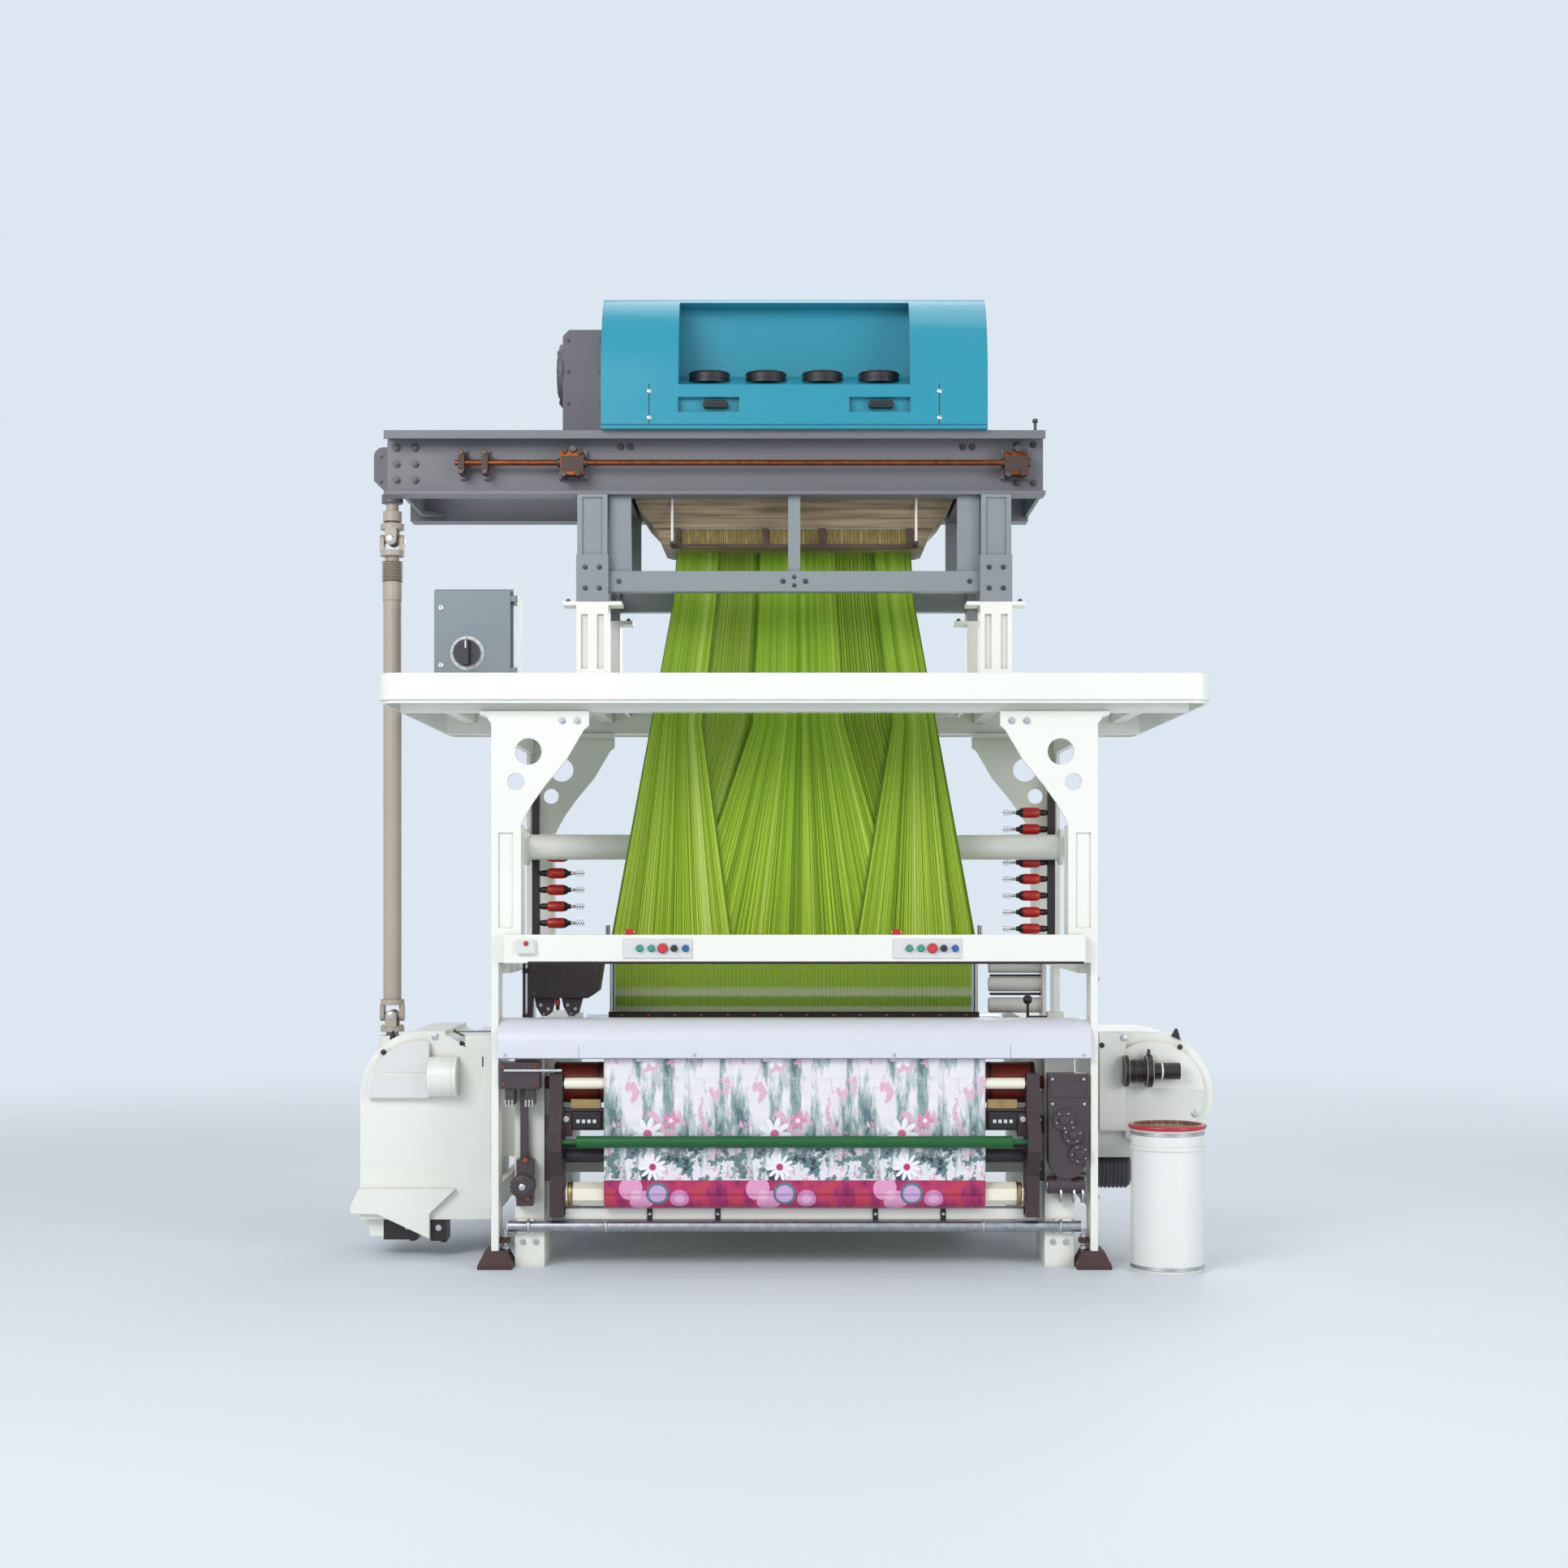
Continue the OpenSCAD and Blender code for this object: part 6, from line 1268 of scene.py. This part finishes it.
nose_y, nose_z, nose_r, fell_y = -0.505, 0.6695, 0.0315, -0.215
line_z, half_width = 0.701, 0.575
cloth_path = [(nose_y - nose_r, roll_z + 0.4455 * k / 44) for k in range(45)]
cloth_path += [(nose_y - nose_r * u, nose_z + nose_r * v) for u, v in arc(0, math.pi / 2, 10)[1:]]
cloth_path += [(nose_y + (fell_y - nose_y) * k / 14, line_z) for k in range(1, 15)]
cloth = laid_sheet("woven_cloth", cloth_path, half_width, 96, "root", cloth_finish,
                   0.0016, ripple=0.0006)
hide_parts("cloth")
wrap_r = 0.0453
wrap_path = [(roll_y - wrap_r * u, roll_z + wrap_r * v) for u, v in arc(-math.pi, math.pi, 64)]
laid_sheet("cloth_roll_wrap", wrap_path, half_width + 0.0002, 24, "cloth_roller",
           cloth_finish, 0.0, start=-0.1423)
roll_ends = Workpiece()
for roller_side in (-1, 1):
    roll_ends.turned((roller_side * 0.5750, roll_y, roll_z), (roller_side * 0.5756, roll_y, roll_z),
                     [(0, 0.0452), (1, 0.0448)], 0, 64)
coil_edge = streaked("cloth_roll_edge", [(0.35, linear(150, 60, 104)),
                                         (0.65, linear(226, 212, 224))], (5, 420, 420), 0.7)
roll_ends.finish("cloth_roll_ends", "cloth_roller", "woven_cloth", [coil_edge])

# Warp: cream yarn wound on a flanged aluminium beam, led up over the backrest and forward to the
# heddles as one flat sheet of ends.
aluminium = metal("cast_aluminium", (0.60, 0.61, 0.62), 0.38, brushed=False, dull=0.15)
dress(aluminium, "warp_beam")
yarn_finish, yarn_tree, yarn_shader, yarn_place = new_finish("warp_yarn", 0.66)
yarn_stretch = new_node(yarn_tree, "ShaderNodeMapping", {"Scale": (520, 3, 3)})
knit(yarn_tree, (yarn_place, "Object"), (yarn_stretch, "Vector"))
yarn_noise = new_node(yarn_tree, "ShaderNodeTexNoise", {"Scale": 1.0, "Detail": 3})
knit(yarn_tree, (yarn_stretch, "Vector"), (yarn_noise, "Vector"))
knit(yarn_tree, (shades(yarn_tree, (yarn_noise, "Fac"), [
    (0.3, linear(186, 176, 150)), (0.5, linear(226, 219, 198)), (0.7, linear(242, 238, 224))]),
    "Color"), (yarn_shader, "Base Color"))
yarn_shader.inputs["Sheen Weight"].default_value = 0.25
relief(yarn_tree, yarn_shader, (yarn_noise, "Fac"), 0.5, 0.0006)
yarn_r, warp_r, back_r = 0.2254, 0.2270, 0.0570
beam_path = [(warp_y - yarn_r * u, warp_z + yarn_r * v) for u, v in arc(0, 2 * math.pi, 96)]
laid_sheet("warp_beam_yarn", beam_path, 0.5895, 30, "warp_beam", yarn_finish, 0.0)
warp_path = [(warp_y + warp_r, warp_z + (back_z - warp_z) * k / 16) for k in range(17)]
warp_path += [(back_y + back_r * u, back_z + back_r * v) for u, v in arc(0, math.pi / 2, 12)]
warp_path += [(back_y - 0.710 * k / 24, line_z) for k in range(1, 25)]
warp = laid_sheet("warp_ends", warp_path, half_width, 60, "root", yarn_finish, 0.0014)
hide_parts("warp_sheet")
flange = Workpiece()
for beam_side in (-1, 1):
    for u, v in around(6, math.radians(30)):
        at = (warp_y + 0.190 * u, warp_z + 0.190 * v)
        flange.turned((beam_side * 0.6038, *at), (beam_side * 0.6085, *at),
                      [(0, 0.020), (0.7, 0.020), (1, 0.015)], 0, 20)
    flange.turned((beam_side * 0.6398, warp_y, warp_z), (beam_side * 0.6460, warp_y, warp_z),
                  [(0, 0.074), (0.8, 0.074), (1, 0.066), (1, 0.032)], 1, 48)
flange.finish("beam_flange_bosses", "warp_beam", "aluminium", [aluminium, zinc])

# Take-up drives: oily dark castings, a gearbox with three round covers on the right and a
# toothed bracket with its wheel on the left, fixed by coppery bolts.
oily_iron = painted("oily_iron", linear(74, 60, 66), 0.34, peel=0.7, coat=0.15, speckle=0.35)
dress(oily_iron, "take_up_drives")
face_y, gear_x, wheel_x, wheel_z = -0.546, 0.760, -0.820, 0.250
drives = Workpiece()
for dx, z, r in ((0.050, 0.452, 0.032), (0.076, 0.408, 0.030), (0.096, 0.350, 0.030)):
    x = gear_x + dx
    drives.stud(x, z, face_y - 0.0198, face_y - 0.0225, r * 0.42, r * 0.30, 0.6, 0, 20)
    for u, v in around(5, dx * 20):
        drives.rod((x + r * 0.74 * u, face_y - 0.0118, z + r * 0.74 * v),
                   (x + r * 0.74 * u, face_y - 0.0150, z + r * 0.74 * v), 0.0026, 1, 6)
for x, z, mark in ((0.776, 0.575, 1), (0.870, 0.575, 1), (0.776, 0.500, 1), (0.872, 0.500, 1),
                   (-0.876, 0.612, 2), (-0.780, 0.612, 2), (-0.876, 0.560, 2),
                   (-0.780, 0.560, 2)):
    drives.rod((x, face_y + 0.001, z), (x, face_y - 0.005, z), 0.0050, mark, 6)
drives.block((0.772, face_y - 0.0030, 0.520), (0.878, face_y + 0.001, 0.566), 0)
for x in (0.800, 0.840, 0.866):
    drives.turned((x, -0.513, 0.2260), (x + 0.006, -0.513, 0.2260),
                  [(0, 0.0265), (0.5, 0.0275), (1, 0.0265)], 1, 24)
drives.rod((0.7660, -0.513, 0.252), (0.7600, -0.513, 0.252), 0.018, 1, 24)
drives.block((-0.8850, face_y - 0.0020, 0.548), (-0.770, face_y + 0.001, 0.590), 0)
drives.rod((-0.875, face_y - 0.004, 0.601), (-0.700, face_y - 0.004, 0.601), 0.0050, 1, 14)
for x, z in ((-0.812, 0.330), (-0.812, 0.274), (-0.806, 0.214)):
    drives.rod((x, face_y + 0.034, z), (x, face_y + 0.008, z), 0.0085, 2, 6)
drives.turned((wheel_x, face_y + 0.006, wheel_z), (wheel_x, face_y - 0.004, wheel_z),
              [(0, 0.034), (0.5, 0.034), (0.7, 0.026), (1, 0.024)], 0, 36)
drives.stud(wheel_x, wheel_z, face_y - 0.004, face_y - 0.010, 0.011, 0.007, 0.7, 1, 6)
for u, v in around(18):
    x, z = wheel_x + 0.0355 * u, wheel_z + 0.0355 * v
    drives.rod((x, face_y + 0.020, z), (x, face_y + 0.007, z), 0.0036, 0, 8)
for x0 in (-0.864, -0.803):
    for k in range(3):
        drives.block((x0 - 0.010 + 0.010 * k, face_y + 0.006, 0.490),
                     (x0 - 0.005 + 0.010 * k, face_y + 0.012, 0.512), 1)
coppery = metal("coppery_bolt", linear(168, 92, 56), 0.36, dull=0.3)
drives.finish("drive_fittings", "root", "dark_iron", [oily_iron, zinc, coppery], 0.0006)

# Left drive housing: white enamelled sheet over the rapier drive. A seam parts its raised panel,
# two black switch boxes hang under it and small knobs hold the lid.
dress(white_enamel, "drive_housing", "rapier_cover")
pale_panel_and_disc_shade = painted("pale_panel_and_disc_shade", linear(228, 228, 226), 0.34, coat=0.2)
switch_black = painted("switch_black", linear(30, 18, 20), 0.36, peel=0.2, coat=0.2)
left_hub, hub_z = -1.157, 0.511
seam_z, dome_r = 0.5790, 0.1662
hood = Workpiece()
dome = [(left_hub + dome_r * u, hub_z + dome_r * v)
        for u, v in arc(math.radians(82), math.radians(178), 24)]
dome = [(x, z) for x, z in dome if z > seam_z][:-1]
for panel in ([(-1.1345, seam_z)] + dome + [(-1.3070, seam_z)],
              [(-1.1345, 0.5000), (-1.1345, 0.5765), (-1.3085, 0.5765), (-1.3215, 0.5000)]):
    hood.plate(panel, -0.3312, -0.3295)
hood.block((-1.2845, -0.2725, 0.0512), (-1.1775, -0.2090, 0.1246), 1)
hood.block((-1.1338, -0.3015, 0.0512), (-1.0832, -0.2190, 0.1246), 1)
for box_x, box_y in ((-1.1085, -0.3015), (-1.2100, -0.2725)):
    hood.turned((box_x, box_y + 0.001, 0.092), (box_x, box_y - 0.0014, 0.092),
                [(0, 0.0100), (1, 0.0096), (1, 0.0070)], 2, 24)
    hood.turned((box_x + 0.012, box_y + 0.030, 0.056), (box_x + 0.012, box_y + 0.030, 0.044),
                [(0, 0.012), (0.6, 0.012), (1, 0.009)], 1, 16)
hood.stud(-1.2790, 0.640, -0.3060, -0.3160, 0.0085, 0.0060, 0.5, 1, 20)
hood.stud(-1.1180, 0.688, -0.3060, -0.3085, 0.0115, 0.0085, 0.6, 2, 24)
hood.block((-0.9720, -0.3070, 0.594), (-0.9680, -0.3056, 0.626), 1)
hood.block((-1.0850, -0.3020, 0.6400), (-1.0260, -0.2700, 0.6440), 2)
hood.block((-1.0800, -0.2960, 0.6500), (-1.0300, -0.2920, 0.6850), 2)
hood.rod((-1.0860, -0.2940, 0.6700), (-1.0250, -0.2940, 0.6700), 0.0045, 2, 14)
hood.stud(-1.0370, 0.6650, -0.2965, -0.3060, 0.0090, 0.0060, 0.6, 1)
for ring_x in (-1.1250, -1.0620):
    hood.turned((ring_x, -0.320, 0.565), (ring_x + 0.004, -0.320, 0.565),
                [(0, 0.0620), (0.3, 0.0628), (0.7, 0.0628), (1, 0.0620)], 3, 48)
hood.finish("housing_fittings", "root", "white_paint",
            [pale_panel_and_disc_shade, switch_black, zinc, white_enamel], 0.0006)
bolts("housing_rear_bolts", [(x, 0.1702, z) for x in (-1.30, -0.98) for z in (0.20, 0.45)],
      (0, 1, 0), 0.006, 0.005, zinc)

# Right rapier cover: the same enamelled sheet with a greyer disc panel, its grey painted shade on
# the disc. A black flanged coupling guard stands before it, and a dark motor hangs below on the
# frame.
right_hub = 1.115
cover = Workpiece()
disc_r, panel_edge_x, panel_top_z = 0.1612, 1.0310, 0.530
disc = [(right_hub + disc_r * u, hub_z + disc_r * v)
        for u, v in arc(math.radians(-122), math.radians(118), 40)]
# The disc plate is greyer than the enamel beside it: painted shade over the disc.
cover.plate([(x, z) for x, z in disc if x > panel_edge_x and z < panel_top_z]
            + [(panel_edge_x, panel_top_z), (panel_edge_x, hub_z - 0.136)],
            -0.3062, -0.3045)
drive_y, drive_z = -0.335, 0.583
for x0, x1, profile, sides in (
        (1.0205, 1.0355, [(0, 0.0460), (0.1, 0.0488), (0.9, 0.0488), (1, 0.0460)], 40),
        (1.0350, 1.0895, [(0, 0.0350), (0.25, 0.0350), (0.27, 0.0370), (0.40, 0.0370),
                          (0.42, 0.0350), (0.62, 0.0350), (0.64, 0.0370), (0.77, 0.0370),
                          (0.79, 0.0350), (1, 0.0350)], 36),
        (1.0885, 1.1095, [(0, 0.0480), (0.1, 0.0508), (0.9, 0.0508), (1, 0.0480)], 40),
        (1.1090, 1.2000, [(0, 0.0258), (0.30, 0.0258), (0.31, 0.0245), (0.36, 0.0245),
                          (0.37, 0.0258), (0.94, 0.0258), (1, 0.0215)], 36)):
    cover.turned((x0, drive_y, drive_z), (x1, drive_y, drive_z), profile, 1, sides)
cover.turned((1.0990, drive_y, drive_z + 0.050), (1.0990, drive_y, drive_z + 0.068),
             [(0, 0.0075), (0.4, 0.0060), (1, 0.0045)], 1, 16)
cover.turned((1.2480, -0.3055, 0.4480), (1.2480, -0.3100, 0.4480),
             [(0, 0.0120), (0.5, 0.0120), (0.6, 0.0085), (1, 0.0075)], 2, 24)
cover.stud(1.0240, 0.6850, -0.3150, -0.3180, 0.0105, 0.0080, 0.6, 2, 24)
cover.stud(0.9560, 0.6620, -0.3150, -0.3230, 0.0085, 0.0060, 0.6, 1)
cover.stud(1.2010, 0.6560, -0.3050, -0.3140, 0.0085, 0.0060, 0.6, 1)
cover.plate([(1.178, 0.6890), (1.206, 0.6760), (1.200, 0.7000), (1.196, 0.7120), (1.190, 0.7120)],
            -0.2900, -0.2720, 1)
motor_y, motor_z, fin_pitch = -0.215, 0.2650, 0.0125
cover.rod((1.0560, motor_y, motor_z), (0.9230, motor_y, motor_z), 0.0560, 3, 40)
for k in range(9):
    fin_x = 0.9400 + fin_pitch * k
    cover.turned((fin_x, motor_y, motor_z), (fin_x + 0.0040, motor_y, motor_z),
                 [(0, 0.0590), (1, 0.0590)], 3, 36)
cover.block((0.9500, -0.2500, 0.3120), (1.0300, -0.1800, 0.3020), 3)
cover.rod((0.9240, motor_y, motor_z), (0.8600, motor_y, motor_z), 0.0200, 2, 24)
motor_grey = painted("motor_grey", linear(92, 88, 96), 0.4, peel=0.5, speckle=0.2)
cover.finish("cover_fittings", "root", "white_paint", [pale_panel_and_disc_shade, switch_black, zinc, motor_grey],
             0.0006)
latch = Workpiece()
latch.plate([(-1.2640, 0.6600), (-1.2360, 0.6840), (-1.2440, 0.6960), (-1.2500, 0.7060),
             (-1.2560, 0.7040), (-1.2620, 0.6860)], -0.2900, -0.2720)
latch.finish("lid_latch", "root", "black_plastic", [switch_black], 0.001)

# Rapiers and wheels: glass-fibre tapes with steel grippers, wound on spoked aluminium wheels
# that six screws hold to their hubs.
tape_finish = streaked("rapier_tape", [(0.4, linear(52, 48, 44)), (0.6, linear(84, 78, 66))],
                       (12, 700, 700), 0.35, 0.0002, 0.3)
dress(tape_finish, "rapier_left", "rapier_right")
dress(aluminium, "rapier_wheel_left", "rapier_wheel_right")
hub_face_y = -0.1262
for hub_x, wheel in ((left_hub, "rapier_wheel_left"), (right_hub, "rapier_wheel_right")):
    bolts(wheel + "_bolts",
          [(hub_x + 0.032 * u, hub_face_y, hub_z + 0.032 * v) for u, v in around(6)],
          (0, -1, 0), 0.004, 0.004, zinc, body=wheel)

# Control cabinet: folded grey steel with a hinged door, a lock and a black rotary switch on a
# pale dial plate with plain ticks.
cabinet_grey = painted("cabinet_grey", linear(128, 140, 145), 0.36, peel=0.25, coat=0.15)
dress(cabinet_grey, "control_cabinet", "cabinet_door")
dress(button_black, "main_switch")
switch_x, switch_z, door_face, tick_r = -1.026, 1.888, -0.255, 0.0475
dial = Workpiece()
dial.turned((switch_x, door_face + 0.0004, switch_z), (switch_x, door_face - 0.0006, switch_z),
            [(0, 0.0530), (1, 0.0530)], 0, 48)
for u, v in around(12):
    x, z = switch_x + tick_r * u, switch_z + tick_r * v
    dial.rod((x, door_face - 0.0003, z), (x, door_face - 0.0012, z), 0.0018, 1, 8)
lock_x = -1.108
for lock_z in (1.850, 2.030):
    dial.stud(lock_x, lock_z, door_face + 0.0004, door_face - 0.0040, 0.0090, 0.0070, 0.7, 2, 20)
    dial.block((lock_x - 0.001, door_face - 0.0046, lock_z - 0.0050),
               (lock_x + 0.001, door_face - 0.0036, lock_z + 0.0050), 1)
dial.finish("door_fittings", "cabinet_door", "cabinet_grey", [panel_grey, batten_black, zinc])
pointer = Workpiece()
pointer.block((switch_x - 0.0022, -0.2925, switch_z + 0.012),
              (switch_x + 0.0022, -0.2910, switch_z + 0.036), 0)
pointer.finish("switch_pointer", "main_switch", "black_plastic", [white_enamel])

# Waste can: white enamelled can with a red rolled rim, bright bands and a comb of stripping teeth
# just inside its mouth.
can_white = painted("can_white", linear(240, 239, 236), 0.3, peel=0.08, coat=0.3, speckle=0.03)
dress(can_white, "waste_can")
can_x, can_y, can_r, comb_r = 1.124, -0.535, 0.109, 0.1035
rim_red = painted("rim_red", linear(190, 28, 46), 0.32, coat=0.3)
wires("can_rim", [ring_path((can_x, can_y, 0.4335), can_r + 0.0018, 64)], 0.0072, rim_red,
      loops=True, sides=12)
wires("can_bands", [ring_path((can_x, can_y, z), can_r + 0.0006, 64)
                    for z in (0.4185, 0.4150, 0.4115, 0.0120, 0.0155, 0.0190)], 0.0022, zinc,
      loops=True, sides=8)
comb_brown = streaked("comb_brown", [(0.35, linear(96, 78, 58)), (0.65, linear(176, 160, 130))],
                      (200, 200, 20), 0.6)
teeth = [[(can_x + comb_r * u, can_y + comb_r * v, z) for z in (0.396, 0.4395)]
         for u, v in around(110)]
wires("can_comb", teeth, 0.0016, comb_brown, sides=6)
wires("can_comb_rings",
      [ring_path((can_x, can_y, z), comb_r - 0.0005, 64) for z in (0.398, 0.4385)],
      0.0020, comb_brown, loops=True, sides=6)
